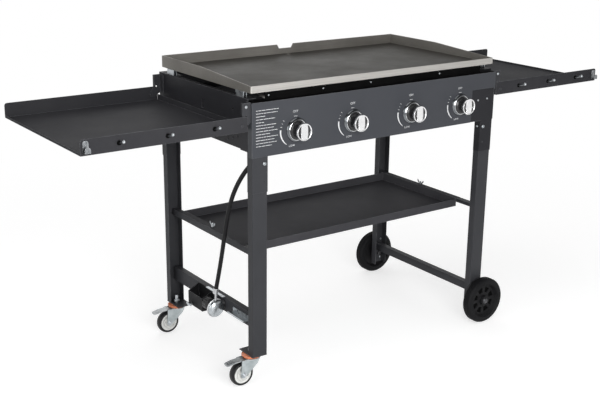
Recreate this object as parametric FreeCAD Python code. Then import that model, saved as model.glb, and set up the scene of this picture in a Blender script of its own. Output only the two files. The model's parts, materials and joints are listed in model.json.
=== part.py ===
"""Outdoor gas griddle station.

A rolling steel stand carries a fire box with four tube burners, a thick steel cook plate that
lifts off, two side shelves that fold down, a lower tray, and a hose with a gas regulator.
X runs to the right along the front, Y to the back, Z up. The origin is on the ground, below
the middle of the object. All sizes are in millimetres.
"""
import FreeCAD, Part
import math
import os

Vector = FreeCAD.Vector
ALONG_X = Vector(1, 0, 0)
ALONG_Y = Vector(0, 1, 0)
UP = Vector(0, 0, 1)

os.makedirs("parts", exist_ok=True)

# Sheet steel and clearances
SHEET = 1.5              # folded steel of the fire box, sleeves, legs and bars
THIN_SHEET = 1.2         # shelves and lower tray
FOLD_RADIUS = 2.5        # outside radius of a fold in a channel
APART = 0.3              # room between pieces that move past each other
RUNNING = 0.06           # radial clearance of a shaft in its hole

# Cook plate
PLATE_LENGTH = 914.0
PLATE_DEPTH = 503.0
PLATE_FLOOR = 4.0
PLATE_WALL = 4.0
PLATE_WALL_HEIGHT = 35.0
PLATE_LIP_HEIGHT = 19.0
PLATE_SLOPE = 270.0      # run over which the side walls fall to the front lip
PLATE_SETBACK = 12.0     # front lip behind the face of the control panel
PLATE_CORNER = 3.0
NOTCH_TOP = 65.0         # notch in the back wall
NOTCH_BOTTOM = 49.0
NOTCH_DEPTH = 13.0
DRAIN_BORE = 18.0
DRAIN_WALL = 2.0
DRAIN_LENGTH = 22.0
DRAIN_INSET = 18.0       # centre of the drain in front of the back wall
FOOT_HEIGHT = 16.0       # folded feet between the fire box and the plate
FOOT_WIDTH = 12.0
FOOT_LENGTH = 40.0
FOOT_SHEET = 2.5
FOOT_INSET_X = 5.0       # feet in from the ends of the plate
FOOT_INSET_Y = 56.0

# Fire box
BOX_OVERHANG = 4.0       # ends of the fire box past the ends of the cook plate
BOX_BACK_MARGIN = 11.0   # back of the fire box behind the cook plate
PANEL_DROP = 8.0         # upper edge of the front below the side panels
PANEL_HEIGHT = 153.0
PANEL_RETURN = 20.0      # depth of the folded edges of front and back panels
RISER_GAP = 4.0          # riser below the cook plate
SIDE_TOP = 853.0         # height of the fire box over the ground
SIDE_HEIGHT = 145.0
SIDE_TAB = 3.0           # low ends of the side panels
SIDE_TAB_LENGTH = 40.0
TOP_FLANGE = 14.0
LEDGE_WIDTH = 30.0       # corner ledges under the feet of the plate
LEDGE_LENGTH = 72.0
VENT_WIDTH = 8.0
VENT_HEIGHT = 23.0
VENT_DROP = 53.0         # middle of the vent slot below the top of the side
SIDE_HOLE_RADIUS = 3.0
SIDE_HOLE_DROP = 40.0
SIDE_HOLE_INSET = 101.0  # hole behind the face of the control panel
SIDE_SLOTS = ((73.0, 32.0), (99.0, 24.0), (125.0, 17.0))  # inset and height in the left side
SIDE_SLOT_HEIGHT = 8.0
BACK_SLOT_LENGTH = 60.0
BACK_SLOT_HEIGHT = 9.0
BACK_SLOT_PITCH = 110.0
BACK_SLOT_DROP = 10.0    # slots in the back below the knobs
END_PLATE_WIDTH = 99.0   # stepped lower right corner of the front
END_PLATE_DROP = 50.0

# Gas train
KNOB_INNER = 111.5       # inner knobs from the middle
KNOB_END_INSET = 148.0   # outer knobs in from the ends of the front
KNOB_DROP = 90.0         # knobs below the upper edge of the front
MANIFOLD_RADIUS = 10.0
MANIFOLD_WALL = 2.0
MANIFOLD_INSET = 39.0    # pipe behind the face of the control panel
MANIFOLD_DROP = 22.0     # pipe below the knobs
MANIFOLD_END_INSET = 66.0
INLET_DROP = 21.0
INLET_RADIUS = 8.5
VALVE_RADIUS = 11.0
VALVE_FORWARD = 22.0     # front of a valve before the pipe
VALVE_BACKWARD = 15.0
VALVE_NECK_RADIUS = 7.5
ORIFICE_RADIUS = 4.0
STEM_RADIUS = 4.0
STEM_IN_VALVE = 9.0
BURNER_RADIUS = 12.5
BURNER_WALL = 1.2
BURNER_MOUTH_RADIUS = 17.0
BURNER_MOUTH_LENGTH = 12.0
RAIL_GAP = 6.0           # front rail behind the valves
RAIL_BACK_INSET = 34.0
RAIL_BELOW = 27.0        # rails below and above the burner tubes
RAIL_ABOVE = 37.0
RAIL_FLANGE = 12.0
PROBE_RADIUS = 2.5
PROBE_LENGTH = 34.0
PROBE_OFFSET = 18.0

# Knobs
BEZEL_RADIUS = 35.0
BEZEL_DEPTH = 6.0
BEZEL_FLOOR = 2.0
BEZEL_RIM = 2.4
STEM_HOLE_RADIUS = 6.5
KNOB_SKIRT_RADIUS = 27.0
KNOB_NECK_RADIUS = 21.5
KNOB_SKIRT_DEPTH = 4.0
KNOB_DEPTH = 26.0
KNOB_FRONT_WALL = 5.0
KNOB_GAP = 4.0           # bezel floor to the back of the knob
CAP_RADIUS = 25.0
CAP_DEPTH = 8.0
CAP_RIM = 3.0
CAP_POCKET = 5.0
CAP_BAR = 17.0

# Stand
SLEEVE_WIDTH = 52.0
SLEEVE_DEPTH = 26.0
SLEEVE_LENGTH = 246.0
SLEEVE_DROP = 9.0        # top of the sleeves below the edge of the front
LEG_DEPTH = 25.0
LEG_OVERLAP_GAP = 76.0   # top of a leg below the top of its sleeve
LEG_BELOW_AXLE = 32.0
BAR_INSET = 26.0         # side bars in from the outer faces of the legs
UPPER_BAR_LOW = 388.0
UPPER_BAR_HEIGHT = 20.0
LEFT_BAR_RISE = 70.0     # lower bars over the ends of the legs
LEFT_BAR_HEIGHT = 45.0
RIGHT_BAR_RISE = 48.0
RIGHT_BAR_HEIGHT = 37.0
BAR_FLANGE = 19.0
TRAY_FRONT_MARGIN = 94.0
TRAY_BACK_MARGIN = 52.0
TRAY_HEIGHT = 27.7
TRAY_GAP = 1.5           # tray walls inside the flanges of the bars
TRAY_FRONT_HEIGHT = 25.0
WING_NUT_INSET = 9.0
WING_BOLT_RADIUS = 3.0
WING_OUTLINE = ((3, 2), (12, 15), (15, 17), (15, 10), (5, 1))  # across and up

# Screws and bolts
BOLT_RADIUS = 5.5
BOLT_HEIGHT = 3.0
SCREW_RADIUS = 4.2
SCREW_HEIGHT = 2.2
SLEEVE_BOLT_RISE = 82.0  # over the lower ends of the sleeves
SLEEVE_HOLE_RISE = 31.0
SLEEVE_BOLT_INSET = 40.0
EAR_SCREW_INSET = 11.0
AXLE_SCREW_RISES = (-15.0, 57.0)
END_PLATE_SCREWS = ((70.0, 35.0), (31.0, 33.0))  # inset and drop
RIVET_INSETS = (12.5, 198.5, 371.5, 642.5)
RIVET_RISE = 13.0

# Wheels at the right end
WHEEL_RADIUS = 77.0
WHEEL_WIDTH = 34.0
WHEEL_INSET = 15.0       # axle in from the outer faces of the legs
WHEEL_GAP = 9.0          # tyre outside the web of the leg
WHEEL_TREAD = 21.0       # radial depth of the tyre
WHEEL_SHOULDER = 7.0
WHEEL_WEB = 9.0
WHEEL_HUB_RADIUS = 17.0
WHEEL_HUB_GAP = 5.0
WHEEL_WINDOWS = 8
WINDOW_INNER = 26.0
WINDOW_OUTER = 46.0
WINDOW_DEPTH = 4.0       # blind pockets between the spokes
WINDOW_ANGLE = 27.0
AXLE_RADIUS = 5.0
AXLE_CAP_RADIUS = 10.0
AXLE_END = 4.0           # cap of the axle past the hub

# Casters at the left end
CASTER_PLATE_DEPTH = 75.0
CASTER_PLATE = 3.0
SWIVEL_INSET_X = 16.0    # swivel in from the outer faces of the leg
SWIVEL_INSET_Y = 35.0
RACE_RADIUS = 29.0
RACE_HEIGHT = 8.0
STUD_RADIUS = 5.0
STUD_RISE = 27.0         # stud over the plate
STUD_HEAD_RADIUS = 8.0
STUD_HEAD = 4.0
CASTER_RADIUS = 37.0
CASTER_WIDTH = 22.0
CASTER_TRAIL = 35.0
CASTER_TYRE = 9.0
CASTER_AXLE_RADIUS = 4.0
FORK_TOP = 3.7
FORK_TOP_RADIUS = 27.0
FORK_SHEET = 2.5
FORK_INNER = 14.5        # half the inside width of the fork
FORK_EYE_RADIUS = 10.0
PEDAL_PIN_GAP = 6.0      # pedal pin over the wheel
PEDAL_LEAD = 2.0         # pedal pin before the axle
PEDAL_PIN_RADIUS = 2.5
PEDAL_EYE_RADIUS = 4.6
PEDAL_LENGTH = 55.0
PEDAL_DROP = 6.0
PEDAL_SHEET = 2.5
PEDAL_HALF_WIDTH = 13.0

# Side shelves
SHELF_GAP = 11.0         # shelf outside the end of the fire box
SHELF_LENGTH = 483.0
SHELF_SETBACK = 4.0      # shelf behind the face of the fire box
SHELF_DROP = 85.0        # floor of the shelf below the top of the fire box
SHELF_HEIGHT = 42.0
SHELF_END_HEIGHT = 18.0
SHELF_HEM = 7.0          # upturned outer end
SHELF_CORNER = 8.0
PIVOT_INSET = 18.0       # pivot from the inner end and the floor of the shelf
PIVOT_RADIUS = 3.0
EAR_DROP = 6.0           # ear below the top of the fire box
EAR_RISE = 17.0          # straight part of the ear over the pivot
EAR_REACH = 15.0         # ear past the inner end of the shelf
EAR_LIP_GAP = 3.0        # lip over the wall of the shelf
EAR_LIP_DEPTH = 9.0
EAR_EYE_RADIUS = 8.5
EAR_FLANGE_DEPTH = 22.0
HOOK_PLACES = (103.0, 242.0, 379.0)  # from the inner end of the shelf
HOOK_HEIGHT = 21.0       # over the floor of the shelf
HOOK_REACH = 27.0
HOOK_RISE = 8.0
HOOK_RADIUS = 2.5
HOOK_BALL_RADIUS = 4.5
HOOK_WASHER_RADIUS = 5.5
OPENER_INSET = 14.0
OPENER_HEIGHT_OVER_FLOOR = 23.0
OPENER_WIDTH = 16.0
OPENER_HEIGHT = 30.0
OPENER_SHEET = 2.0
OPENER_REACH = 15.0

# Hose and regulator
HOSE_RADIUS = 6.5
# Shares of the way from the inlet to the regulator in X, Y and Z
HOSE_COURSE = (
    (0, 0, 0), (0, 0, 0.09), (0.3, 0.176, 0.155), (0.467, 0.44, 0.275), (0.6, 0.616, 0.404),
    (0.733, 0.73, 0.568), (0.833, 0.811, 0.729), (0.933, 0.93, 0.907), (1, 1, 1),
)
HOSE_END_RISE = 65.0     # end of the hose over the regulator
HOSE_END_LEAD = 4.0
REGULATOR_REACH = 31.0   # regulator outside the side bar
REGULATOR_LEAD = 66.0    # regulator before the tank bracket
REGULATOR_DROP = 28.0    # regulator below the top of the bar
REGULATOR_RADIUS = 29.5
REGULATOR_DEPTH = 30.0
REGULATOR_DOME_RADIUS = 24.0
REGULATOR_STEM_RADIUS = 5.0
FERRULE_RADIUS = 8.0
FERRULE_LENGTH = 18.0
NIPPLE_RADIUS = 6.0
VENT_TUBE_RADIUS = 6.0
HAND_NUT_RADIUS = 19.0
HAND_NUT_LENGTH = 24.0
HAND_NUT_GAP = 14.0      # hand nut before the tank bracket
HAND_NUT_RIBS = 10

# Tank holder on the left lower bar
BRACKET_INSET = 268.0    # bracket behind the face of the front
BRACKET_LENGTH = 86.0
BRACKET_DROP = 17.0      # bracket below the bar
BRACKET_SLOPE = 20.0
BRACKET_SHEET = 2.5
BRACKET_REACH = 40.0
BRACKET_SCREW_RISE = 6.0
ZINC_SHEET = 2.5
SUPPORT_INSET = 60.0     # support plate behind the face of the front
SUPPORT_LENGTH = 90.0
SUPPORT_REACH = 22.0
SUPPORT_RISE = 17.0      # over the lower edge of the bar
STRIP_LENGTH = 100.0
STRIP_INSET = 200.0

# Grease cup
CUP_LENGTH = 120.0
CUP_DEPTH = 34.0
CUP_HEIGHT = 62.0
CUP_DROP = 47.0          # cup below the top of the fire box
CUP_WALL = 1.2
CHUTE_WIDTH = 46.0
CHUTE_DROP = 27.0        # chute below the cook plate
CHUTE_HEIGHT = 20.0
CHUTE_SIDE = 12.0

# Places that follow from the sizes
BOX_DEPTH = PLATE_SETBACK + PLATE_DEPTH + BOX_BACK_MARGIN
END_X = PLATE_LENGTH / 2 + BOX_OVERHANG
FRONT_Y = -BOX_DEPTH / 2
BACK_Y = BOX_DEPTH / 2
RETURN_Y = FRONT_Y + PANEL_RETURN
PLATE_FRONT_Y = FRONT_Y + PLATE_SETBACK
PLATE_BACK_Y = PLATE_FRONT_Y + PLATE_DEPTH
PLATE_BASE = SIDE_TOP + FOOT_HEIGHT
PANEL_TOP = SIDE_TOP - PANEL_DROP
PANEL_BOTTOM = PANEL_TOP - PANEL_HEIGHT
RISER_TOP = PLATE_BASE - RISER_GAP
SIDE_BOTTOM = SIDE_TOP - SIDE_HEIGHT
END_PLATE_TOP = PANEL_TOP - END_PLATE_DROP
KNOB_Z = PANEL_TOP - KNOB_DROP
KNOB_OUTER = END_X - KNOB_END_INSET
KNOB_PLACES = (-KNOB_OUTER, -KNOB_INNER, KNOB_INNER, KNOB_OUTER)
KNOB_BACK_Y = FRONT_Y - BEZEL_FLOOR - KNOB_GAP
KNOB_FRONT_Y = KNOB_BACK_Y - KNOB_DEPTH
STEM_END_Y = KNOB_FRONT_Y + KNOB_FRONT_WALL + 1
SLEEVE_OUTER_X = END_X - SHEET
SLEEVE_INNER_X = SLEEVE_OUTER_X - SLEEVE_WIDTH
SLEEVE_Y = BACK_Y - SHEET
SLEEVE_TOP = PANEL_TOP - SLEEVE_DROP
SLEEVE_BOTTOM = SLEEVE_TOP - SLEEVE_LENGTH
SLEEVE_BOLT_Z = SLEEVE_BOTTOM + SLEEVE_BOLT_RISE
SLEEVE_HOLE_Z = SLEEVE_BOTTOM + SLEEVE_HOLE_RISE
LEG_OUTER_X = SLEEVE_OUTER_X - SHEET
LEG_INNER_X = SLEEVE_INNER_X + SHEET
LEG_Y = SLEEVE_Y - SHEET
LEG_WEB_INNER_Y = LEG_Y - SHEET
LEG_TOP = SLEEVE_TOP - LEG_OVERLAP_GAP
PEDAL_PIN_Z = 2 * CASTER_RADIUS + PEDAL_PIN_GAP
FORK_LOW = PEDAL_PIN_Z
FORK_HIGH = FORK_LOW + FORK_TOP
RACE_BASE = FORK_HIGH + APART
RACE_TOP = RACE_BASE + RACE_HEIGHT
LEFT_LEG_BOTTOM = RACE_TOP + CASTER_PLATE
RIGHT_LEG_BOTTOM = WHEEL_RADIUS - LEG_BELOW_AXLE
SWIVEL_X = -(LEG_OUTER_X - SWIVEL_INSET_X)
SWIVEL_Y = LEG_Y - SWIVEL_INSET_Y
PEDAL_TRAIL = CASTER_TRAIL - PEDAL_LEAD
WHEEL_X = LEG_OUTER_X - WHEEL_INSET
WHEEL_INNER_Y = LEG_Y + WHEEL_GAP
WHEEL_HUB_INNER_Y = LEG_Y + WHEEL_HUB_GAP
WHEEL_HUB_OUTER_Y = WHEEL_INNER_Y + WHEEL_WIDTH - 1
AXLE_END_Y = WHEEL_HUB_OUTER_Y + AXLE_END
BAR_X = LEG_OUTER_X - BAR_INSET
UPPER_BAR_HIGH = UPPER_BAR_LOW + UPPER_BAR_HEIGHT
LEFT_BAR_LOW = LEFT_LEG_BOTTOM + LEFT_BAR_RISE
LEFT_BAR_HIGH = LEFT_BAR_LOW + LEFT_BAR_HEIGHT
RIGHT_BAR_LOW = RIGHT_LEG_BOTTOM + RIGHT_BAR_RISE
RIGHT_BAR_HIGH = RIGHT_BAR_LOW + RIGHT_BAR_HEIGHT
TRAY_FRONT_Y = FRONT_Y + TRAY_FRONT_MARGIN
TRAY_BACK_Y = BACK_Y - TRAY_BACK_MARGIN
WING_NUT_Y = (TRAY_FRONT_Y + TRAY_BACK_Y) / 2
MANIFOLD_Y = FRONT_Y + MANIFOLD_INSET
MANIFOLD_Z = KNOB_Z - MANIFOLD_DROP
MANIFOLD_RIGHT = END_X - MANIFOLD_END_INSET
INLET_X = -(BAR_X - 2)
INLET_BOTTOM = MANIFOLD_Z - INLET_DROP
VALVE_FRONT = MANIFOLD_Y - VALVE_FORWARD
VALVE_BACK = MANIFOLD_Y + VALVE_BACKWARD
RAIL_FRONT_Y = VALVE_BACK + RAIL_GAP
RAIL_BACK_Y = BACK_Y - RAIL_BACK_INSET
RAIL_LOW = KNOB_Z - RAIL_BELOW
RAIL_HIGH = KNOB_Z + RAIL_ABOVE
SHELF_INNER_X = END_X + SHELF_GAP
SHELF_OUTER_X = SHELF_INNER_X + SHELF_LENGTH
SHELF_Y = BACK_Y - SHELF_SETBACK
SHELF_BASE = SIDE_TOP - SHELF_DROP
SHELF_TOP = SHELF_BASE + SHELF_HEIGHT
PIVOT_X = SHELF_INNER_X + PIVOT_INSET
PIVOT_Z = SHELF_BASE + PIVOT_INSET
EAR_Y = SHELF_Y - THIN_SHEET - APART
EAR_TOP = SIDE_TOP - EAR_DROP
EAR_BOTTOM = PIVOT_Z + EAR_RISE
EAR_OUTER_X = SHELF_INNER_X + EAR_REACH
EAR_LIP_BOTTOM = SHELF_TOP + EAR_LIP_GAP
HOOK_Z = SHELF_BASE + HOOK_HEIGHT
OPENER_X = SHELF_OUTER_X - OPENER_INSET
OPENER_Z = SHELF_BASE + OPENER_HEIGHT_OVER_FLOOR
BRACKET_FRONT_Y = FRONT_Y + BRACKET_INSET
BRACKET_BACK_Y = BRACKET_FRONT_Y + BRACKET_LENGTH
BRACKET_LOW = LEFT_BAR_LOW - BRACKET_DROP
REGULATOR_X = -(BAR_X + REGULATOR_REACH)
REGULATOR_Y = BRACKET_FRONT_Y - REGULATOR_LEAD
REGULATOR_Z = LEFT_BAR_HIGH - REGULATOR_DROP
HAND_NUT_BACK_Y = BRACKET_FRONT_Y - HAND_NUT_GAP
HAND_NUT_FRONT_Y = HAND_NUT_BACK_Y - HAND_NUT_LENGTH
HOSE_START = (INLET_X, MANIFOLD_Y, INLET_BOTTOM)
HOSE_END = (REGULATOR_X, REGULATOR_Y - HOSE_END_LEAD, REGULATOR_Z + HOSE_END_RISE)
DRAIN_Y = PLATE_BACK_Y - PLATE_WALL - DRAIN_INSET
CUP_FRONT_Y = BACK_Y + APART
CUP_TOP = SIDE_TOP - CUP_DROP
CHUTE_HIGH = PLATE_BASE - CHUTE_DROP
CHUTE_LOW = CHUTE_HIGH - CHUTE_HEIGHT


def block(x, y, z):
    """Box between two values of each coordinate, given in either order."""
    low = Vector(min(x), min(y), min(z))
    return Part.makeBox(max(x) - low.x, max(y) - low.y, max(z) - low.z, low)


def rod(radius, start, end):
    """Round bar between two points."""
    path = Vector(*end) - Vector(*start)
    return Part.makeCylinder(radius, path.Length, Vector(*start), path)


def prism(points, travel):
    """Flat outline of corner points, pushed along a direction."""
    corners = [Vector(*point) for point in points]
    face = Part.Face(Part.makePolygon(corners + corners[:1]))
    return face.extrude(Vector(*travel))


def turned(profile, centre, axis):
    """Solid of revolution; the profile holds (radius, distance along the axis) pairs."""
    corners = [Vector(radius, 0, height) for radius, height in profile]
    face = Part.Face(Part.makePolygon(corners + corners[:1]))
    solid = face.revolve(Vector(0, 0, 0), UP, 360)
    turn = FreeCAD.Rotation(UP, axis)
    solid.Placement = FreeCAD.Placement(Vector(*centre), turn)
    return solid


def joined(first, *others):
    """Pieces welded or moulded into one solid."""
    return first.fuse(list(others)).removeSplitter() if others else first


def mirrored(shape, normal):
    return shape.mirror(Vector(0, 0, 0), normal)


def straight_edges(shape, direction, **places):
    """Straight edges along a direction; places fix x, y or z of their middle."""
    chosen = []
    for edge in shape.Edges:
        if edge.Curve.TypeId != "Part::GeomLine":
            continue
        middle = edge.CenterOfMass
        along = edge.tangentAt(edge.FirstParameter)
        if abs(abs(along.dot(direction)) - 1) > 1e-6:
            continue
        if all(abs(getattr(middle, axis) - value) < 1e-4 for axis, value in places.items()):
            chosen.append(edge)
    return chosen


def screw(place, outward, radius=SCREW_RADIUS, height=SCREW_HEIGHT):
    """Low domed head that stands on a face."""
    profile = ((0, 0), (radius, 0), (radius * 0.7, height), (0, height))
    return turned(profile, place, Vector(*outward))


def channel(width_x, outer_y, depth, z):
    """Upright U of folded sheet: a web at outer_y and two flanges that point at the middle."""
    toward = -1 if outer_y > 0 else 1
    outer = block(width_x, (outer_y, outer_y + toward * depth), z)
    outer = outer.makeFillet(FOLD_RADIUS, straight_edges(outer, UP, y=outer_y))
    inner_x = (min(width_x) + SHEET, max(width_x) - SHEET)
    web_y = outer_y + toward * SHEET
    inner = block(inner_x, (web_y, outer_y + toward * (depth + 1)), (z[0] - 1, z[1] + 1))
    inner = inner.makeFillet(FOLD_RADIUS - SHEET, straight_edges(inner, UP, y=web_y))
    return outer.cut(inner)


def save(node, *solids):
    """Write one sub-part; repeated pieces of one node stay separate solids."""
    shape = solids[0] if len(solids) == 1 else Part.makeCompound(list(solids))
    count = len(shape.Solids)
    if not shape.isValid() or count < 1:
        raise ValueError(node + " is not a sound solid")
    shape.exportStep("parts/" + node + ".step")
    print(f"{node}: {count} solid(s), {shape.Volume / 1000:.1f} cm3")


def make_control_panel():
    """Front panel folded back on all sides, with a low riser behind its top edge."""
    outer = block((-END_X, END_X), (FRONT_Y, RETURN_Y), (PANEL_BOTTOM, PANEL_TOP))
    inner = block((-END_X + SHEET, END_X - SHEET), (FRONT_Y + SHEET, RETURN_Y + SHEET),
                  (PANEL_BOTTOM + SHEET, PANEL_TOP - SHEET))
    panel = outer.cut(inner)
    riser = block((-SLEEVE_INNER_X, SLEEVE_INNER_X), (RETURN_Y - SHEET, RETURN_Y),
                  (PANEL_TOP - SHEET, RISER_TOP))
    panel = joined(panel, riser)
    for side in (-1, 1):
        passage = block((side * SLEEVE_INNER_X, side * SLEEVE_OUTER_X),
                        (FRONT_Y + SHEET, RETURN_Y + 1), (PANEL_BOTTOM - 1, PANEL_BOTTOM + 2 * SHEET))
        panel = panel.cut(passage)
    step = block((END_X - END_PLATE_WIDTH, END_X + 1), (FRONT_Y - 1, FRONT_Y + SHEET),
                 (PANEL_BOTTOM - 1, END_PLATE_TOP))
    panel = panel.cut(step)
    for place in KNOB_PLACES:
        hole = rod(STEM_HOLE_RADIUS, (place, FRONT_Y - 1, KNOB_Z), (place, FRONT_Y + 2 * SHEET, KNOB_Z))
        panel = panel.cut(hole)
    save("control_panel", panel)


def make_fire_box():
    """Side panels with corner ledges, and the slotted back panel."""
    side_y = (RETURN_Y, -RETURN_Y)
    wall = block((END_X - SHEET, END_X), side_y, (SIDE_BOTTOM - SIDE_TAB, SIDE_TOP))
    relief = block((END_X - 2 * SHEET, END_X + 1),
                   (side_y[0] + SIDE_TAB_LENGTH, side_y[1] - SIDE_TAB_LENGTH),
                   (SIDE_BOTTOM - 2 * SIDE_TAB, SIDE_BOTTOM))
    wall = wall.cut(relief)
    top_z = (SIDE_TOP - SHEET, SIDE_TOP)
    flange = block((END_X - TOP_FLANGE, END_X - SHEET), (side_y[0] + 4, side_y[1] - 4), top_z)
    ledges = []
    for face in (-1, 1):
        near = face * (-RETURN_Y - 4)
        ledges.append(block((END_X - LEDGE_WIDTH, END_X - SHEET), (near, near - face * LEDGE_LENGTH),
                            top_z))
    wall = joined(wall, flange, *ledges)
    vent_z = SIDE_TOP - VENT_DROP
    slot = block((END_X - 2 * SHEET, END_X + 1), (-VENT_WIDTH / 2, VENT_WIDTH / 2),
                 (vent_z - VENT_HEIGHT / 2, vent_z + VENT_HEIGHT / 2))
    hole_y = FRONT_Y + SIDE_HOLE_INSET
    hole_z = SIDE_TOP - SIDE_HOLE_DROP
    hole = rod(SIDE_HOLE_RADIUS, (END_X - 2 * SHEET, hole_y, hole_z), (END_X + 1, hole_y, hole_z))
    wall = wall.cut(slot.fuse(hole))
    save("firebox_right_side", wall)
    left = mirrored(wall, ALONG_X)
    for inset, height in SIDE_SLOTS:
        y = FRONT_Y + inset
        opening = block((-END_X - 1, -END_X + 2 * SHEET), (y - 2, y + 2),
                        (SIDE_BOTTOM + height - SIDE_SLOT_HEIGHT / 2,
                         SIDE_BOTTOM + height + SIDE_SLOT_HEIGHT / 2))
        left = left.cut(opening)
    save("firebox_left_side", left)

    outer = block((-END_X, END_X), (-RETURN_Y, BACK_Y), (SIDE_BOTTOM - SIDE_TAB, SIDE_TOP))
    inner = block((-END_X + SHEET, END_X - SHEET), (-RETURN_Y - 1, BACK_Y - SHEET),
                  (SIDE_BOTTOM - 2 * SIDE_TAB, SIDE_TOP - SHEET))
    back = outer.cut(inner)
    slot_z = KNOB_Z - BACK_SLOT_DROP
    count = int((2 * SLEEVE_INNER_X - BACK_SLOT_LENGTH) / BACK_SLOT_PITCH) + 1
    for number in range(count):
        middle = (number - (count - 1) / 2) * BACK_SLOT_PITCH
        slot = block((middle - BACK_SLOT_LENGTH / 2, middle + BACK_SLOT_LENGTH / 2),
                     (BACK_Y - 2 * SHEET, BACK_Y + 1),
                     (slot_z - BACK_SLOT_HEIGHT / 2, slot_z + BACK_SLOT_HEIGHT / 2))
        slot = slot.makeFillet(BACK_SLOT_HEIGHT / 2 - 0.01, straight_edges(slot, ALONG_Y))
        back = back.cut(slot)
    window = block((-CHUTE_WIDTH / 2 - 1, CHUTE_WIDTH / 2 + 1), (BACK_Y - 2 * SHEET, BACK_Y + 1),
                   (CHUTE_LOW - 3, CHUTE_HIGH))
    save("firebox_back", back.cut(window))


def make_burner_rails():
    """Two cross rails that hold the burner tubes at their ends."""
    length = (-END_X + SHEET, END_X - SHEET)
    front = joined(
        block(length, (RAIL_FRONT_Y, RAIL_FRONT_Y + SHEET), (RAIL_LOW, RAIL_HIGH)),
        block(length, (RAIL_FRONT_Y, RAIL_FRONT_Y + RAIL_FLANGE), (RAIL_HIGH - SHEET, RAIL_HIGH)))
    for place in KNOB_PLACES:
        front = front.cut(rod(BURNER_RADIUS, (place, RAIL_FRONT_Y - 1, KNOB_Z),
                              (place, RAIL_FRONT_Y + 2 * SHEET, KNOB_Z)))
        front = front.cut(rod(PROBE_RADIUS, (place + PROBE_OFFSET, RAIL_FRONT_Y - 1, KNOB_Z + 8),
                              (place + PROBE_OFFSET, RAIL_FRONT_Y + 2 * SHEET, KNOB_Z + 8)))
    back = joined(
        block(length, (RAIL_BACK_Y, RAIL_BACK_Y + SHEET), (RAIL_LOW, RAIL_HIGH)),
        block(length, (RAIL_BACK_Y - RAIL_FLANGE, RAIL_BACK_Y), (RAIL_LOW, RAIL_LOW + SHEET)))
    save("burner_rails", front, back)


def make_gas_train():
    """Manifold pipe, inlet elbow, valves with their stems, burner tubes and spark probes."""
    pipe = rod(MANIFOLD_RADIUS, (INLET_X + INLET_RADIUS, MANIFOLD_Y, MANIFOLD_Z),
               (MANIFOLD_RIGHT, MANIFOLD_Y, MANIFOLD_Z))
    clips = [block((x, x + 30), (FRONT_Y + SHEET, MANIFOLD_Y), (MANIFOLD_Z - 4, MANIFOLD_Z + 4))
             for x in (-265, 235)]
    bore = rod(MANIFOLD_RADIUS - MANIFOLD_WALL, (INLET_X, MANIFOLD_Y, MANIFOLD_Z),
               (MANIFOLD_RIGHT - 4, MANIFOLD_Y, MANIFOLD_Z))
    save("gas_manifold", joined(pipe, *clips).cut(bore))

    elbow = joined(
        block((INLET_X - INLET_RADIUS, INLET_X + INLET_RADIUS),
              (MANIFOLD_Y - INLET_RADIUS, MANIFOLD_Y + INLET_RADIUS),
              (MANIFOLD_Z - INLET_RADIUS, MANIFOLD_Z + INLET_RADIUS)),
        rod(INLET_RADIUS, (INLET_X, MANIFOLD_Y, MANIFOLD_Z), (INLET_X, MANIFOLD_Y, INLET_BOTTOM)))
    spigot = rod(MANIFOLD_RADIUS - MANIFOLD_WALL, (INLET_X, MANIFOLD_Y, MANIFOLD_Z),
                 (INLET_X + INLET_RADIUS + 10, MANIFOLD_Y, MANIFOLD_Z))
    elbow = joined(elbow, spigot)
    save("gas_inlet_elbow", elbow)

    valves, burners, probes = [], [], []
    for number, place in enumerate(KNOB_PLACES, start=1):
        length = VALVE_BACK - VALVE_FRONT
        profile = ((STEM_RADIUS + RUNNING, 0), (VALVE_NECK_RADIUS, 0), (VALVE_NECK_RADIUS, 8),
                   (VALVE_RADIUS, 12), (VALVE_RADIUS, length - 12), (ORIFICE_RADIUS, length - 5),
                   (ORIFICE_RADIUS, length), (0, length), (0, 16), (STEM_RADIUS + RUNNING, 16))
        body = turned(profile, (place, VALVE_FRONT, KNOB_Z), ALONG_Y)
        saddle = rod(7, (place, MANIFOLD_Y, MANIFOLD_Z), (place, MANIFOLD_Y, KNOB_Z - 4))
        bore = rod(MANIFOLD_RADIUS, (place - 20, MANIFOLD_Y, MANIFOLD_Z),
                   (place + 20, MANIFOLD_Y, MANIFOLD_Z))
        socket = rod(STEM_RADIUS + RUNNING, (place, VALVE_FRONT - 1, KNOB_Z),
                     (place, VALVE_FRONT + 16, KNOB_Z))
        valves.append(joined(body, saddle).cut(bore).cut(socket))

        stem = rod(STEM_RADIUS, (place, VALVE_FRONT + STEM_IN_VALVE, KNOB_Z), (place, STEM_END_Y, KNOB_Z))
        flat = block((place - STEM_RADIUS, place + STEM_RADIUS), (STEM_END_Y - 1, STEM_END_Y + 14),
                     (KNOB_Z + STEM_RADIUS - 1.2, KNOB_Z + STEM_RADIUS))
        save(f"valve_stem_{number}", stem.cut(flat))

        mouth_y = RAIL_FRONT_Y - BURNER_MOUTH_LENGTH
        tube_end = RAIL_BACK_Y - mouth_y
        wall = BURNER_WALL
        tube = ((BURNER_MOUTH_RADIUS, 0), (BURNER_RADIUS, 9), (BURNER_RADIUS, tube_end),
                (0, tube_end), (0, tube_end - 3), (BURNER_RADIUS - wall, tube_end - 3),
                (BURNER_RADIUS - wall, 9), (BURNER_MOUTH_RADIUS - wall, 0))
        burners.append(turned(tube, (place, mouth_y, KNOB_Z), ALONG_Y))
        probes.append(rod(PROBE_RADIUS, (place + PROBE_OFFSET, RAIL_FRONT_Y - 8, KNOB_Z + 8),
                          (place + PROBE_OFFSET, RAIL_FRONT_Y - 8 + PROBE_LENGTH, KNOB_Z + 8)))
    save("gas_valves", *valves)
    save("burner_tubes", *burners, *probes)


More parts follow.
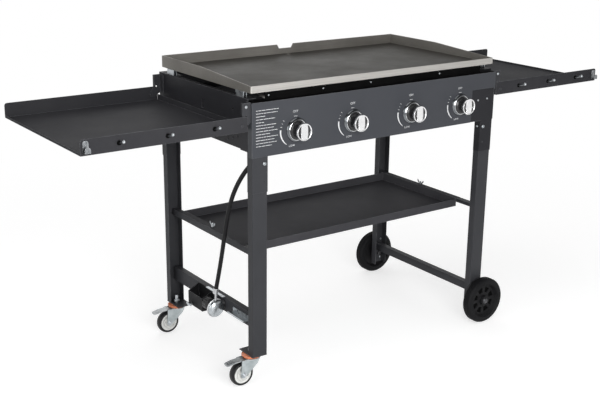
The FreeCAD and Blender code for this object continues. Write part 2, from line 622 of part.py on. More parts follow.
def make_knobs():
    """Dished bezels on the panel, and knobs with a bright cap that has a cross bar."""
    bezels = []
    for number, place in enumerate(KNOB_PLACES, start=1):
        rim = BEZEL_RADIUS - BEZEL_RIM
        dish = ((STEM_HOLE_RADIUS, 0), (BEZEL_RADIUS, 0), (BEZEL_RADIUS, BEZEL_DEPTH - 1.5),
                (BEZEL_RADIUS - 1, BEZEL_DEPTH), (rim, BEZEL_DEPTH), (rim - 3, BEZEL_FLOOR),
                (STEM_HOLE_RADIUS, BEZEL_FLOOR))
        bezels.append(turned(dish, (place, FRONT_Y, KNOB_Z), -ALONG_Y))

        skirt = KNOB_SKIRT_DEPTH
        body = ((STEM_RADIUS + RUNNING, 0), (KNOB_SKIRT_RADIUS, 0), (KNOB_SKIRT_RADIUS, skirt - 1),
                (KNOB_SKIRT_RADIUS - 1.5, skirt), (KNOB_NECK_RADIUS + 1, skirt + 2),
                (KNOB_NECK_RADIUS, skirt + 5), (KNOB_NECK_RADIUS, KNOB_DEPTH), (0, KNOB_DEPTH),
                (0, KNOB_DEPTH - KNOB_FRONT_WALL), (STEM_RADIUS + RUNNING, KNOB_DEPTH - KNOB_FRONT_WALL))
        save(f"knob_{number}", turned(body, (place, KNOB_BACK_Y, KNOB_Z), -ALONG_Y))

        disc = ((0, 0), (CAP_RADIUS - 2, 0), (CAP_RADIUS, 2), (CAP_RADIUS, CAP_DEPTH - 1),
                (CAP_RADIUS - 1, CAP_DEPTH), (0, CAP_DEPTH))
        cap = turned(disc, (place, KNOB_FRONT_Y, KNOB_Z), -ALONG_Y)
        face_y = KNOB_FRONT_Y - CAP_DEPTH
        pocket = rod(CAP_RADIUS - CAP_RIM, (place, face_y - 1, KNOB_Z),
                     (place, face_y + CAP_POCKET, KNOB_Z))
        bar = block((place - CAP_BAR / 2, place + CAP_BAR / 2), (face_y - 2, face_y + CAP_POCKET + 1),
                    (KNOB_Z - CAP_RADIUS, KNOB_Z + CAP_RADIUS))
        save(f"knob_cap_{number}", cap.cut(pocket.cut(bar)))
    save("knob_bezels", *bezels)


def make_end_plate():
    """Wide head of the right front sleeve, behind the stepped corner of the panel."""
    left = END_X - END_PLATE_WIDTH - 2 * SHEET
    web = (-SLEEVE_Y, -SLEEVE_Y + SHEET)
    return block((left, SLEEVE_INNER_X + FOLD_RADIUS), web,
                 (PANEL_BOTTOM + SHEET, END_PLATE_TOP + 4 * SHEET))


def make_sleeves_and_legs():
    """Corner sleeves fixed inside the fire box, and the legs bolted into them."""
    sleeves = []
    for side in (-1, 1):
        for face in (-1, 1):
            sleeve = channel((side * SLEEVE_INNER_X, side * SLEEVE_OUTER_X), face * SLEEVE_Y,
                             SLEEVE_DEPTH, (SLEEVE_BOTTOM, SLEEVE_TOP))
            hole_x = side * (SLEEVE_OUTER_X - SLEEVE_BOLT_INSET)
            hole = rod(3, (hole_x, face * (SLEEVE_Y + 1), SLEEVE_HOLE_Z),
                       (hole_x, face * LEG_Y, SLEEVE_HOLE_Z))
            sleeve = sleeve.cut(hole)
            if side > 0 and face < 0:
                sleeve = joined(sleeve, make_end_plate())
            sleeves.append(sleeve)
            bottom = LEFT_LEG_BOTTOM if side < 0 else RIGHT_LEG_BOTTOM
            leg = channel((side * LEG_INNER_X, side * LEG_OUTER_X), face * LEG_Y, LEG_DEPTH,
                          (bottom, LEG_TOP))
            if side > 0:
                axle_hole = rod(AXLE_RADIUS, (WHEEL_X, face * (LEG_Y + 1), WHEEL_RADIUS),
                                (WHEEL_X, face * (LEG_WEB_INNER_Y - 1), WHEEL_RADIUS))
                leg = leg.cut(axle_hole)
            name = ("front" if face < 0 else "back") + ("_left" if side < 0 else "_right")
            save("leg_" + name, leg)
    save("leg_sleeves", *sleeves)


def make_bars_and_tray():
    """Side bars between the legs, and the tray that lies between the upper ones."""
    upper, lower = [], []
    bolt_x = BAR_X - SHEET - WING_NUT_INSET
    flange_y = (-LEG_WEB_INNER_Y, LEG_WEB_INNER_Y)
    for side in (-1, 1):
        face_x = (side * BAR_X, side * (BAR_X - SHEET))
        flange_x = (side * BAR_X, side * (BAR_X - BAR_FLANGE))
        flange = block(flange_x, flange_y, (UPPER_BAR_HIGH - SHEET, UPPER_BAR_HIGH))
        hole = rod(WING_BOLT_RADIUS, (side * bolt_x, WING_NUT_Y, UPPER_BAR_LOW),
                   (side * bolt_x, WING_NUT_Y, UPPER_BAR_HIGH + 1))
        upper.append(joined(block(face_x, flange_y, (UPPER_BAR_LOW, UPPER_BAR_HIGH)), flange).cut(hole))
        low, high = (LEFT_BAR_LOW, LEFT_BAR_HIGH) if side < 0 else (RIGHT_BAR_LOW, RIGHT_BAR_HIGH)
        flange = block(flange_x, flange_y, (high - SHEET, high))
        lower.append(joined(block(face_x, flange_y, (low, high)), flange))
    save("upper_side_bars", *upper)
    save("lower_side_bars", *lower)

    rim_x = BAR_X - SHEET
    wall_x = BAR_X - BAR_FLANGE - TRAY_GAP
    tray_top = UPPER_BAR_HIGH + THIN_SHEET
    floor_z = tray_top - TRAY_HEIGHT
    tray_y = (TRAY_FRONT_Y, TRAY_BACK_Y)
    outer = block((-wall_x, wall_x), tray_y, (floor_z, tray_top))
    inner = block((-wall_x + THIN_SHEET, wall_x - THIN_SHEET),
                  (tray_y[0] + THIN_SHEET, tray_y[1] - THIN_SHEET),
                  (floor_z + THIN_SHEET, tray_top + 1))
    tray = outer.cut(inner)
    low_front = block((-wall_x + THIN_SHEET, wall_x - THIN_SHEET), (tray_y[0] - 1, tray_y[0] + 2),
                      (floor_z + TRAY_FRONT_HEIGHT, tray_top + 1))
    tray = tray.cut(low_front)
    for side in (-1, 1):
        rim = block((side * rim_x, side * (wall_x - THIN_SHEET)), tray_y, (UPPER_BAR_HIGH, tray_top))
        rim = rim.cut(rod(WING_BOLT_RADIUS, (side * bolt_x, WING_NUT_Y, UPPER_BAR_LOW),
                          (side * bolt_x, WING_NUT_Y, tray_top + 1)))
        tray = tray.fuse(rim)
    save("bottom_tray", tray.removeSplitter())

    nuts = []
    for side in (-1, 1):
        x = side * bolt_x
        bolt = rod(WING_BOLT_RADIUS, (x, WING_NUT_Y, UPPER_BAR_LOW + 4), (x, WING_NUT_Y, tray_top + 12))
        hub = rod(4.5, (x, WING_NUT_Y, tray_top), (x, WING_NUT_Y, tray_top + 7))
        wings = []
        for face in (-1, 1):
            outline = [(x, WING_NUT_Y + face * across, tray_top + rise) for across, rise in WING_OUTLINE]
            wings.append(prism(outline, (2, 0, 0)))
        wings = [wing.translated(Vector(-1, 0, 0)) for wing in wings]
        nuts.append(joined(bolt, hub, *wings))
    save("wing_nuts", *nuts, make_tank_screw())


def make_tank_screw():
    """Wing screw in the outer face of the tank bracket."""
    outer_x = -BAR_X - BRACKET_REACH
    screw_y = BRACKET_BACK_Y - 22
    z = BRACKET_LOW + BRACKET_SCREW_RISE
    shank = rod(3, (outer_x, screw_y, z), (outer_x - 14, screw_y, z))
    hub = rod(5, (outer_x - 6, screw_y, z), (outer_x - 14, screw_y, z))
    wings = block((outer_x - 9, outer_x - 12), (screw_y - 14, screw_y + 14), (z - 4, z + 4))
    wings = wings.makeFillet(3.5, straight_edges(wings, ALONG_X))
    return joined(shank, hub, wings)


def make_fasteners():
    """Heads of the bolts and screws that show."""
    heads = []
    for side in (-1, 1):
        for face in (-1, 1):
            x = side * (SLEEVE_OUTER_X - SLEEVE_BOLT_INSET)
            heads.append(screw((x, face * SLEEVE_Y, SLEEVE_BOLT_Z), (0, face, 0), BOLT_RADIUS,
                               BOLT_HEIGHT))
            inner_y = face * (SLEEVE_Y - SLEEVE_DEPTH / 2)
            heads.append(screw((side * SLEEVE_INNER_X, inner_y, SLEEVE_BOLT_Z), (-side, 0, 0)))
            ear_x = side * (EAR_OUTER_X - EAR_SCREW_INSET)
            heads.append(screw((ear_x, face * EAR_Y, EAR_TOP - EAR_SCREW_INSET), (0, face, 0)))
            if side > 0:
                for rise in AXLE_SCREW_RISES:
                    place = (side * (LEG_OUTER_X - 8), face * LEG_WEB_INNER_Y, WHEEL_RADIUS + rise)
                    heads.append(screw(place, (0, -face, 0)))
    for inset, drop in END_PLATE_SCREWS:
        place = (END_X - inset, FRONT_Y + SHEET, END_PLATE_TOP - drop)
        heads.append(screw(place, (0, -1, 0), 3.2, 1.4))
    for inset in RIVET_INSETS:
        place = (-SLEEVE_INNER_X + inset, RETURN_Y - SHEET, PANEL_TOP + RIVET_RISE)
        heads.append(screw(place, (0, -1, 0), 2.5, 1.0))
    pivot = make_shelf_pivot()
    pivots = [pivot, mirrored(pivot, ALONG_Y)]
    pivots += [mirrored(piece, ALONG_X) for piece in pivots]
    save("frame_fasteners", *heads, *pivots)


def make_wheels():
    """Large moulded wheels with pockets between the spokes, on stub axles through the right legs."""
    middle = WHEEL_WIDTH / 2
    inner_radius = WHEEL_RADIUS - WHEEL_TREAD
    shoulder = WHEEL_SHOULDER
    offset = WHEEL_INNER_Y
    hub_low = WHEEL_HUB_INNER_Y - offset
    hub_high = WHEEL_HUB_OUTER_Y - offset
    bore = AXLE_RADIUS + RUNNING
    profile = ((bore, hub_low), (WHEEL_HUB_RADIUS, hub_low), (WHEEL_HUB_RADIUS, middle - WHEEL_WEB / 2),
               (inner_radius - 6, middle - WHEEL_WEB / 2), (inner_radius, 0),
               (WHEEL_RADIUS - shoulder, 0), (WHEEL_RADIUS, shoulder),
               (WHEEL_RADIUS, WHEEL_WIDTH - shoulder),
               (WHEEL_RADIUS - shoulder, WHEEL_WIDTH), (inner_radius, WHEEL_WIDTH),
               (inner_radius - 6, middle + WHEEL_WEB / 2), (WHEEL_HUB_RADIUS, middle + WHEEL_WEB / 2),
               (WHEEL_HUB_RADIUS, hub_high), (bore, hub_high))
    wheel = turned(profile, (WHEEL_X, offset, WHEEL_RADIUS), ALONG_Y)
    pocket_y = offset + middle + WHEEL_WEB / 2 - WINDOW_DEPTH
    for number in range(WHEEL_WINDOWS):
        ring = Part.makeCylinder(WINDOW_OUTER, WHEEL_WIDTH, Vector(WHEEL_X, pocket_y, WHEEL_RADIUS),
                                 ALONG_Y, WINDOW_ANGLE)
        core = rod(WINDOW_INNER, (WHEEL_X, offset - 1, WHEEL_RADIUS),
                   (WHEEL_X, offset + WHEEL_WIDTH + 1, WHEEL_RADIUS))
        window = ring.cut(core)
        window.rotate(Vector(WHEEL_X, 0, WHEEL_RADIUS), ALONG_Y, 360 / WHEEL_WINDOWS * number)
        wheel = wheel.cut(window)
    save("wheel_back", wheel)
    save("wheel_front", mirrored(wheel, ALONG_Y))

    cap_y = WHEEL_HUB_OUTER_Y + APART - LEG_WEB_INNER_Y
    spacer = WHEEL_HUB_INNER_Y - APART - LEG_WEB_INNER_Y
    web = LEG_Y - LEG_WEB_INNER_Y
    end = AXLE_END_Y - LEG_WEB_INNER_Y
    profile = ((0, -5), (8, -5), (8, 0), (AXLE_RADIUS, 0), (AXLE_RADIUS, web), (8, web), (8, spacer),
               (AXLE_RADIUS, spacer), (AXLE_RADIUS, cap_y), (AXLE_CAP_RADIUS, cap_y),
               (AXLE_CAP_RADIUS - 3, end), (0, end))
    axle = turned(profile, (WHEEL_X, LEG_WEB_INNER_Y, WHEEL_RADIUS), ALONG_Y)
    save("wheel_axles", axle, mirrored(axle, ALONG_Y))


def make_casters():
    """Locking swivel casters below the left legs."""
    plates, races = [], []
    for face, name in ((-1, "front"), (1, "back")):
        centre_y = face * SWIVEL_Y
        plate = block((-LEG_OUTER_X, -LEG_INNER_X),
                      (face * LEG_Y, face * (LEG_Y - CASTER_PLATE_DEPTH)), (RACE_TOP, LEFT_LEG_BOTTOM))
        plates.append(plate.cut(rod(STUD_RADIUS, (SWIVEL_X, centre_y, RACE_TOP - 1),
                                    (SWIVEL_X, centre_y, LEFT_LEG_BOTTOM + 1))))
        stud_top = LEFT_LEG_BOTTOM + STUD_RISE - RACE_BASE
        head_low = FORK_LOW - APART - STUD_HEAD - RACE_BASE
        head_high = FORK_LOW - APART - RACE_BASE
        profile = ((0, head_low), (STUD_HEAD_RADIUS, head_low), (STUD_HEAD_RADIUS, head_high),
                   (STUD_RADIUS, head_high), (STUD_RADIUS, 0), (RACE_RADIUS - 3, 0),
                   (RACE_RADIUS, RACE_HEIGHT), (STUD_RADIUS, RACE_HEIGHT),
                   (STUD_RADIUS, stud_top), (0, stud_top))
        stud = turned(profile, (SWIVEL_X, centre_y, RACE_BASE), UP)
        nut_low = LEFT_LEG_BOTTOM
        nut = rod(9, (SWIVEL_X, centre_y, nut_low), (SWIVEL_X, centre_y, nut_low + 8))
        races.append(joined(stud, nut))
        make_caster(name, centre_y)
    save("caster_mounts", *plates, *races)


def make_caster(name, centre_y):
    """Fork with its pins, wheel hub, tyre and brake pedal of one caster."""
    axle_x = SWIVEL_X - CASTER_TRAIL
    pin_x = SWIVEL_X - PEDAL_TRAIL
    top = rod(FORK_TOP_RADIUS, (SWIVEL_X, centre_y, FORK_LOW), (SWIVEL_X, centre_y, FORK_HIGH))
    reach = math.sqrt(FORK_TOP_RADIUS ** 2 - (FORK_INNER + FORK_SHEET) ** 2)
    pieces = []
    for face in (-1, 1):
        plane = centre_y + face * FORK_INNER
        outline = ((SWIVEL_X + reach, plane, FORK_LOW), (SWIVEL_X + reach - 8, plane, FORK_LOW - 16),
                   (axle_x + FORK_EYE_RADIUS * 0.7, plane, CASTER_RADIUS - FORK_EYE_RADIUS * 0.7),
                   (axle_x - FORK_EYE_RADIUS * 0.98, plane, CASTER_RADIUS + 2),
                   (pin_x - 9, plane, PEDAL_PIN_Z - 6), (pin_x - 8, plane, FORK_HIGH),
                   (SWIVEL_X - reach, plane, FORK_HIGH), (SWIVEL_X - reach, plane, FORK_LOW))
        cheek = prism(outline, (0, face * FORK_SHEET, 0))
        eye = rod(FORK_EYE_RADIUS, (axle_x, plane, CASTER_RADIUS),
                  (axle_x, plane + face * FORK_SHEET, CASTER_RADIUS))
        pieces += [cheek, eye]
    half = FORK_INNER + FORK_SHEET
    axle = rod(CASTER_AXLE_RADIUS, (axle_x, centre_y - half - 3, CASTER_RADIUS),
               (axle_x, centre_y + half + 3, CASTER_RADIUS))
    pin = rod(PEDAL_PIN_RADIUS, (pin_x, centre_y - half, PEDAL_PIN_Z),
              (pin_x, centre_y + half, PEDAL_PIN_Z))
    fork = joined(top, *pieces, axle, pin)
    fork = fork.cut(rod(STUD_RADIUS + RUNNING, (SWIVEL_X, centre_y, FORK_LOW - 1),
                        (SWIVEL_X, centre_y, FORK_HIGH + 1)))
    save(f"caster_fork_{name}", fork)

    half_width = CASTER_WIDTH / 2
    rim = CASTER_RADIUS - CASTER_TYRE
    boss = FORK_INNER - APART
    bore = CASTER_AXLE_RADIUS + RUNNING
    hub = ((bore, -boss), (9, -boss), (9, -4), (rim - 5, -4), (rim - 3, -half_width + 1),
           (rim, -half_width + 1), (rim, half_width - 1), (rim - 3, half_width - 1),
           (rim - 5, 4), (9, 4), (9, boss), (bore, boss))
    centre = (axle_x, centre_y, CASTER_RADIUS)
    save(f"caster_hub_{name}", turned(hub, centre, ALONG_Y))
    tyre = ((rim, -half_width + 1), (CASTER_RADIUS - 3, -half_width + 1),
            (CASTER_RADIUS, -half_width + 5), (CASTER_RADIUS, half_width - 5),
            (CASTER_RADIUS - 3, half_width - 1), (rim, half_width - 1))
    save(f"caster_tyre_{name}", turned(tyre, centre, ALONG_Y))

    sheet = PEDAL_SHEET
    edge = centre_y - PEDAL_HALF_WIDTH
    tip_x = pin_x - PEDAL_LENGTH
    side_view = ((pin_x, edge, PEDAL_PIN_Z), (pin_x - 12, edge, PEDAL_PIN_Z),
                 (pin_x - 30, edge, PEDAL_PIN_Z - 1), (tip_x, edge, PEDAL_PIN_Z - PEDAL_DROP),
                 (tip_x + 1, edge, PEDAL_PIN_Z - PEDAL_DROP + sheet + 1),
                 (pin_x - 29, edge, PEDAL_PIN_Z + sheet), (pin_x, edge, PEDAL_PIN_Z + sheet + 1))
    pedal = prism(side_view, (0, 2 * PEDAL_HALF_WIDTH, 0))
    pedal = pedal.makeFillet(7, straight_edges(pedal, Vector(1, 0, sheet + 1).normalize()))
    barrel = rod(PEDAL_EYE_RADIUS, (pin_x, edge, PEDAL_PIN_Z),
                 (pin_x, edge + 2 * PEDAL_HALF_WIDTH, PEDAL_PIN_Z))
    bore = rod(PEDAL_PIN_RADIUS + RUNNING, (pin_x, edge - 1, PEDAL_PIN_Z),
               (pin_x, edge + 2 * PEDAL_HALF_WIDTH + 1, PEDAL_PIN_Z))
    save(f"brake_pedal_{name}", joined(pedal, barrel).cut(bore))


def make_shelves():
    """Fold-down side shelves with tool hooks and a bottle opener, and their hinge brackets."""
    floor = block((SHELF_INNER_X, SHELF_OUTER_X), (-SHELF_Y, SHELF_Y),
                  (SHELF_BASE, SHELF_BASE + THIN_SHEET))
    walls = []
    for face in (-1, 1):
        wall = block((SHELF_INNER_X, SHELF_OUTER_X), (face * SHELF_Y, face * (SHELF_Y - THIN_SHEET)),
                     (SHELF_BASE, SHELF_BASE + SHELF_HEIGHT))
        corner = straight_edges(wall, ALONG_Y, x=SHELF_OUTER_X, z=SHELF_BASE + SHELF_HEIGHT)
        inner_corner = straight_edges(wall, ALONG_Y, x=SHELF_INNER_X, z=SHELF_BASE + SHELF_HEIGHT)
        wall = wall.makeFillet(SHELF_CORNER, corner + inner_corner)
        hole = rod(PIVOT_RADIUS + RUNNING, (PIVOT_X, face * (SHELF_Y + 1), PIVOT_Z),
                   (PIVOT_X, face * (SHELF_Y - 3), PIVOT_Z))
        walls.append(wall.cut(hole))
    end_y = EAR_Y - SHEET - APART
    end = block((SHELF_INNER_X, SHELF_INNER_X + THIN_SHEET), (-end_y, end_y),
                (SHELF_BASE, SHELF_BASE + SHELF_END_HEIGHT))
    for face in (-1, 1):
        relief = block((SHELF_INNER_X - 1, PIVOT_X + EAR_EYE_RADIUS + 4),
                       (face * end_y, face * (SHELF_Y - THIN_SHEET)),
                       (SHELF_BASE - 1, SHELF_BASE + 2 * THIN_SHEET))
        floor = floor.cut(relief)
    hem = block((SHELF_OUTER_X - THIN_SHEET, SHELF_OUTER_X), (-SHELF_Y, SHELF_Y),
                (SHELF_BASE, SHELF_BASE + SHELF_HEM))
    shelf = joined(floor, *walls, end, hem)
    save("side_shelf_right", shelf)
    save("side_shelf_left", mirrored(shelf, ALONG_X))

    hooks = []
    slant = Vector(0, -HOOK_REACH, HOOK_RISE)
    end_radius = HOOK_BALL_RADIUS
    reach = slant.Length
    peg_profile = ((0, 0), (HOOK_RADIUS, 0), (HOOK_RADIUS, reach - end_radius), (end_radius, reach - 1),
                   (end_radius, reach + 1), (HOOK_RADIUS, reach + end_radius), (0, reach + end_radius))
    for place in HOOK_PLACES:
        x = SHELF_INNER_X + place
        washer = rod(HOOK_WASHER_RADIUS, (x, -SHELF_Y, HOOK_Z), (x, -SHELF_Y - 1.5, HOOK_Z))
        peg = turned(peg_profile, (x, -SHELF_Y - 1, HOOK_Z), slant)
        hooks.append(joined(washer, peg))
    save("shelf_hooks_right", *hooks)
    save("shelf_hooks_left", *[mirrored(hook, ALONG_X) for hook in hooks])

    x = (OPENER_X - OPENER_WIDTH / 2, OPENER_X + OPENER_WIDTH / 2)
    front = -SHELF_Y - OPENER_REACH
    top = OPENER_Z + OPENER_HEIGHT / 2
    low = OPENER_Z - OPENER_HEIGHT / 2
    plate = block(x, (-SHELF_Y, -SHELF_Y - OPENER_SHEET), (low, top))
    arm = block(x, (-SHELF_Y, front), (low, low + OPENER_SHEET))
    lip = block(x, (front, front + OPENER_SHEET), (low, low + 15))
    opener = joined(plate, arm, lip)
    corners = straight_edges(opener, ALONG_Y, z=top) + straight_edges(opener, ALONG_Y, z=low + 15)
    opener = opener.makeFillet(6, corners)
    heads = [screw((OPENER_X, -SHELF_Y - OPENER_SHEET, OPENER_Z + rise), (0, -1, 0), 2.6, 1.2)
             for rise in (3, 10)]
    opener = joined(opener, *heads)
    save("bottle_opener_right", opener)
    save("bottle_opener_left", mirrored(opener, ALONG_X))

    right = make_hinge_bracket()
    brackets = [right, mirrored(right, ALONG_Y)]
    save("shelf_hinge_brackets", *brackets, *[mirrored(piece, ALONG_X) for piece in brackets])


def make_hinge_bracket():
    """Ear at the front right corner, folded from a flange on the side of the fire box."""
    y = -EAR_Y
    flange = block((END_X, END_X + SHEET), (y, y + EAR_FLANGE_DEPTH), (EAR_BOTTOM - 12, EAR_TOP))
    outline = ((END_X, y, EAR_TOP), (EAR_OUTER_X, y, EAR_TOP), (EAR_OUTER_X, y, EAR_BOTTOM + 6),
               (PIVOT_X + EAR_EYE_RADIUS * 0.9, y, PIVOT_Z + EAR_EYE_RADIUS * 0.43),
               (PIVOT_X, y, PIVOT_Z - EAR_EYE_RADIUS),
               (PIVOT_X - EAR_EYE_RADIUS * 0.6, y, PIVOT_Z - EAR_EYE_RADIUS * 0.8),
               (END_X, y, EAR_BOTTOM - 12))
    ear = prism(outline, (0, SHEET, 0))
    eye = rod(EAR_EYE_RADIUS, (PIVOT_X, y, PIVOT_Z), (PIVOT_X, y + SHEET, PIVOT_Z))
    lip = block((EAR_OUTER_X - SHEET, EAR_OUTER_X), (y, y + EAR_LIP_DEPTH), (EAR_LIP_BOTTOM, EAR_TOP))
    bracket = joined(flange, ear, eye, lip)
    hole_x = EAR_OUTER_X - EAR_SCREW_INSET
    hole = rod(2.5, (hole_x, y - 1, EAR_BOTTOM + 7), (hole_x, y + 2 * SHEET, EAR_BOTTOM + 7))
    pivot = rod(PIVOT_RADIUS, (PIVOT_X, y - 1, PIVOT_Z), (PIVOT_X, y + 2 * SHEET, PIVOT_Z))
    return bracket.cut(hole).cut(pivot)


def make_shelf_pivot():
    """Pivot bolt of a shelf: head outside the shelf wall, nut behind the ear."""
    head = THIN_SHEET + 2 * APART
    ear = head + SHEET
    profile = ((0, -2), (4, -2), (5.5, 0), (PIVOT_RADIUS, 0), (PIVOT_RADIUS, ear),
               (5, ear), (5, ear + 3), (0, ear + 3))
    return turned(profile, (PIVOT_X, -SHELF_Y - APART, PIVOT_Z), ALONG_Y)


def make_cook_plate():
    """Open-fronted pan of thick steel with a notch and a drain in its back, on four folded feet."""
    half = PLATE_LENGTH / 2
    top = PLATE_BASE + PLATE_WALL_HEIGHT
    outer = block((-half, half), (PLATE_FRONT_Y, PLATE_BACK_Y), (PLATE_BASE, top))
    outer = outer.makeFillet(PLATE_CORNER, straight_edges(outer, UP))
    inner = block((-half + PLATE_WALL, half - PLATE_WALL),
                  (PLATE_FRONT_Y + PLATE_WALL, PLATE_BACK_Y - PLATE_WALL),
                  (PLATE_BASE + PLATE_FLOOR, top + 1))
    lip = PLATE_BASE + PLATE_LIP_HEIGHT
    slope = prism(((-half - 1, PLATE_FRONT_Y - 1, lip), (-half - 1, PLATE_FRONT_Y + PLATE_SLOPE, top),
                   (-half - 1, PLATE_FRONT_Y + PLATE_SLOPE, top + 1),
                   (-half - 1, PLATE_FRONT_Y - 1, top + 1)), (PLATE_LENGTH + 2, 0, 0))
    y = PLATE_BACK_Y - 2 * PLATE_WALL
    notch = prism(((-NOTCH_TOP / 2, y, top + 1), (NOTCH_TOP / 2, y, top + 1),
                   (NOTCH_BOTTOM / 2, y, top - NOTCH_DEPTH), (-NOTCH_BOTTOM / 2, y, top - NOTCH_DEPTH)),
                  (0, 3 * PLATE_WALL, 0))
    spout = rod(DRAIN_BORE / 2 + DRAIN_WALL, (0, DRAIN_Y, PLATE_BASE - DRAIN_LENGTH),
                (0, DRAIN_Y, PLATE_BASE + 1))
    drain = rod(DRAIN_BORE / 2, (0, DRAIN_Y, PLATE_BASE - DRAIN_LENGTH - 1), (0, DRAIN_Y, top))
    plate = joined(outer.cut(inner).cut(slope).cut(notch), spout).cut(drain)
    save("griddle_plate", plate)

    feet = []
    foot_x = half - FOOT_INSET_X
    foot_y = (PLATE_FRONT_Y + FOOT_INSET_Y, PLATE_BACK_Y - FOOT_INSET_Y)
    for side in (-1, 1):
        for y in foot_y:
            x = side * foot_x
            length = (y - FOOT_LENGTH / 2, y + FOOT_LENGTH / 2)
            foot = block((x - FOOT_WIDTH / 2, x + FOOT_WIDTH / 2), length, (SIDE_TOP, PLATE_BASE))
            hollow = block((x - FOOT_WIDTH / 2 + FOOT_SHEET, x + FOOT_WIDTH / 2 - FOOT_SHEET), length,
                           (SIDE_TOP, PLATE_BASE - FOOT_SHEET))
            feet.append(foot.cut(hollow))
    save("griddle_feet", *feet)


def make_grease_cup():
    """Sloping chute through the back panel, and the cup that hangs below it."""
    start = DRAIN_Y - DRAIN_BORE / 2 - 6
    end = BACK_Y + CUP_DEPTH / 2
    half = CHUTE_WIDTH / 2
    sheet = CUP_WALL

    def slanted(x, low, high):
        return prism(((x, start, CHUTE_LOW + 10 + low), (x, end, CHUTE_LOW + low),
                      (x, end, CHUTE_LOW + high), (x, start, CHUTE_LOW + 10 + high)), (sheet, 0, 0))

    floor = prism(((-half, start, CHUTE_LOW + 10), (-half, end, CHUTE_LOW),
                   (-half, end, CHUTE_LOW + sheet),
                   (-half, start, CHUTE_LOW + 10 + sheet)), (CHUTE_WIDTH, 0, 0))
    sides = [slanted(x, 0, CHUTE_SIDE) for x in (-half, half - sheet)]
    hangers = []
    for x in (-1, 1):
        arm_x = x * (CUP_LENGTH / 2 + 1 + sheet)
        plate = block((arm_x, x * (half + 2)), (BACK_Y, BACK_Y + sheet), (CUP_TOP + 6, CUP_TOP + 14))
        arm = block((arm_x, arm_x - x * sheet), (BACK_Y, BACK_Y + CUP_DEPTH), (CUP_TOP - 8, CUP_TOP + 14))
        rail = block((arm_x, x * (CUP_LENGTH / 2 - 3)), (BACK_Y, BACK_Y + CUP_DEPTH),
                     (CUP_TOP - 8, CUP_TOP - 8 + sheet))
        hangers += [plate, arm, rail]
    wings = [block((x * half, x * (half + 4)), (BACK_Y, BACK_Y + sheet),
                   (CUP_TOP + 6, CHUTE_LOW + 8)) for x in (-1, 1)]
    save("grease_chute", joined(floor, *sides, *wings, *hangers))

    cup_half = CUP_LENGTH / 2 - 5
    back = CUP_FRONT_Y + CUP_DEPTH - 1
    outer = block((-cup_half, cup_half), (CUP_FRONT_Y + 2, back), (CUP_TOP - CUP_HEIGHT, CUP_TOP))
    outer = outer.makeFillet(6, straight_edges(outer, UP))
    rim = block((-cup_half - 4.5, cup_half + 4.5), (CUP_FRONT_Y + 2, back),
                (CUP_TOP - 8 + sheet + APART, CUP_TOP - 8 + 2 * sheet + APART))
    inner = block((-cup_half + sheet, cup_half - sheet), (CUP_FRONT_Y + 2 + sheet, back - sheet),
                  (CUP_TOP - CUP_HEIGHT + sheet, CUP_TOP + 1))
    inner = inner.makeFillet(6 - sheet, straight_edges(inner, UP))
    save("grease_cup", joined(outer, rim).cut(inner))


def rounded_path(points):
    """Straight runs joined by tangent arcs, each arc as large as its two runs allow."""
    corners = points
    edges = []
    radii = []
    last = corners[0]
    for before, corner, after in zip(corners, corners[1:], corners[2:]):
        coming = corner - before
        going = after - corner
        cut = 0.45 * min(coming.Length, going.Length)
        half_turn = coming.getAngle(going) / 2
        radii.append(cut / math.tan(half_turn))
        start = corner - coming.normalize() * cut
        end = corner + going.normalize() * cut
        bisector = (end + start) * 0.5 - corner
        reach = radii[-1] * (1 / math.cos(half_turn) - 1)
        middle = corner + bisector.normalize() * reach
        edges.append(Part.LineSegment(last, start).toShape())
        edges.append(Part.Arc(start, middle, end).toShape())
        last = end
    edges.append(Part.LineSegment(last, corners[-1]).toShape())
    print("hose radii:", ", ".join(f"{radius:.0f}" for radius in radii))
    return Part.Wire(edges)


def hose_points():
    """Corner points of the hose's path between the inlet elbow and the regulator."""
    span = Vector(*HOSE_END) - Vector(*HOSE_START)
    return [Vector(*HOSE_START) + Vector(span.x * share[0], span.y * share[1], span.z * share[2])
            for share in HOSE_COURSE]


def make_hose():
    """Gas hose from the inlet elbow down to the regulator."""
    points = hose_points()
    path = rounded_path(points)
    start = points[0]
    along = points[1] - start
    ring = Part.Wire([Part.makeCircle(HOSE_RADIUS, start, along)])
    hose = path.makePipeShell([ring], True, True)
    
    print(f"hose length {path.Length:.0f}, volume {hose.Volume:.0f}")
    save("gas_hose", hose)


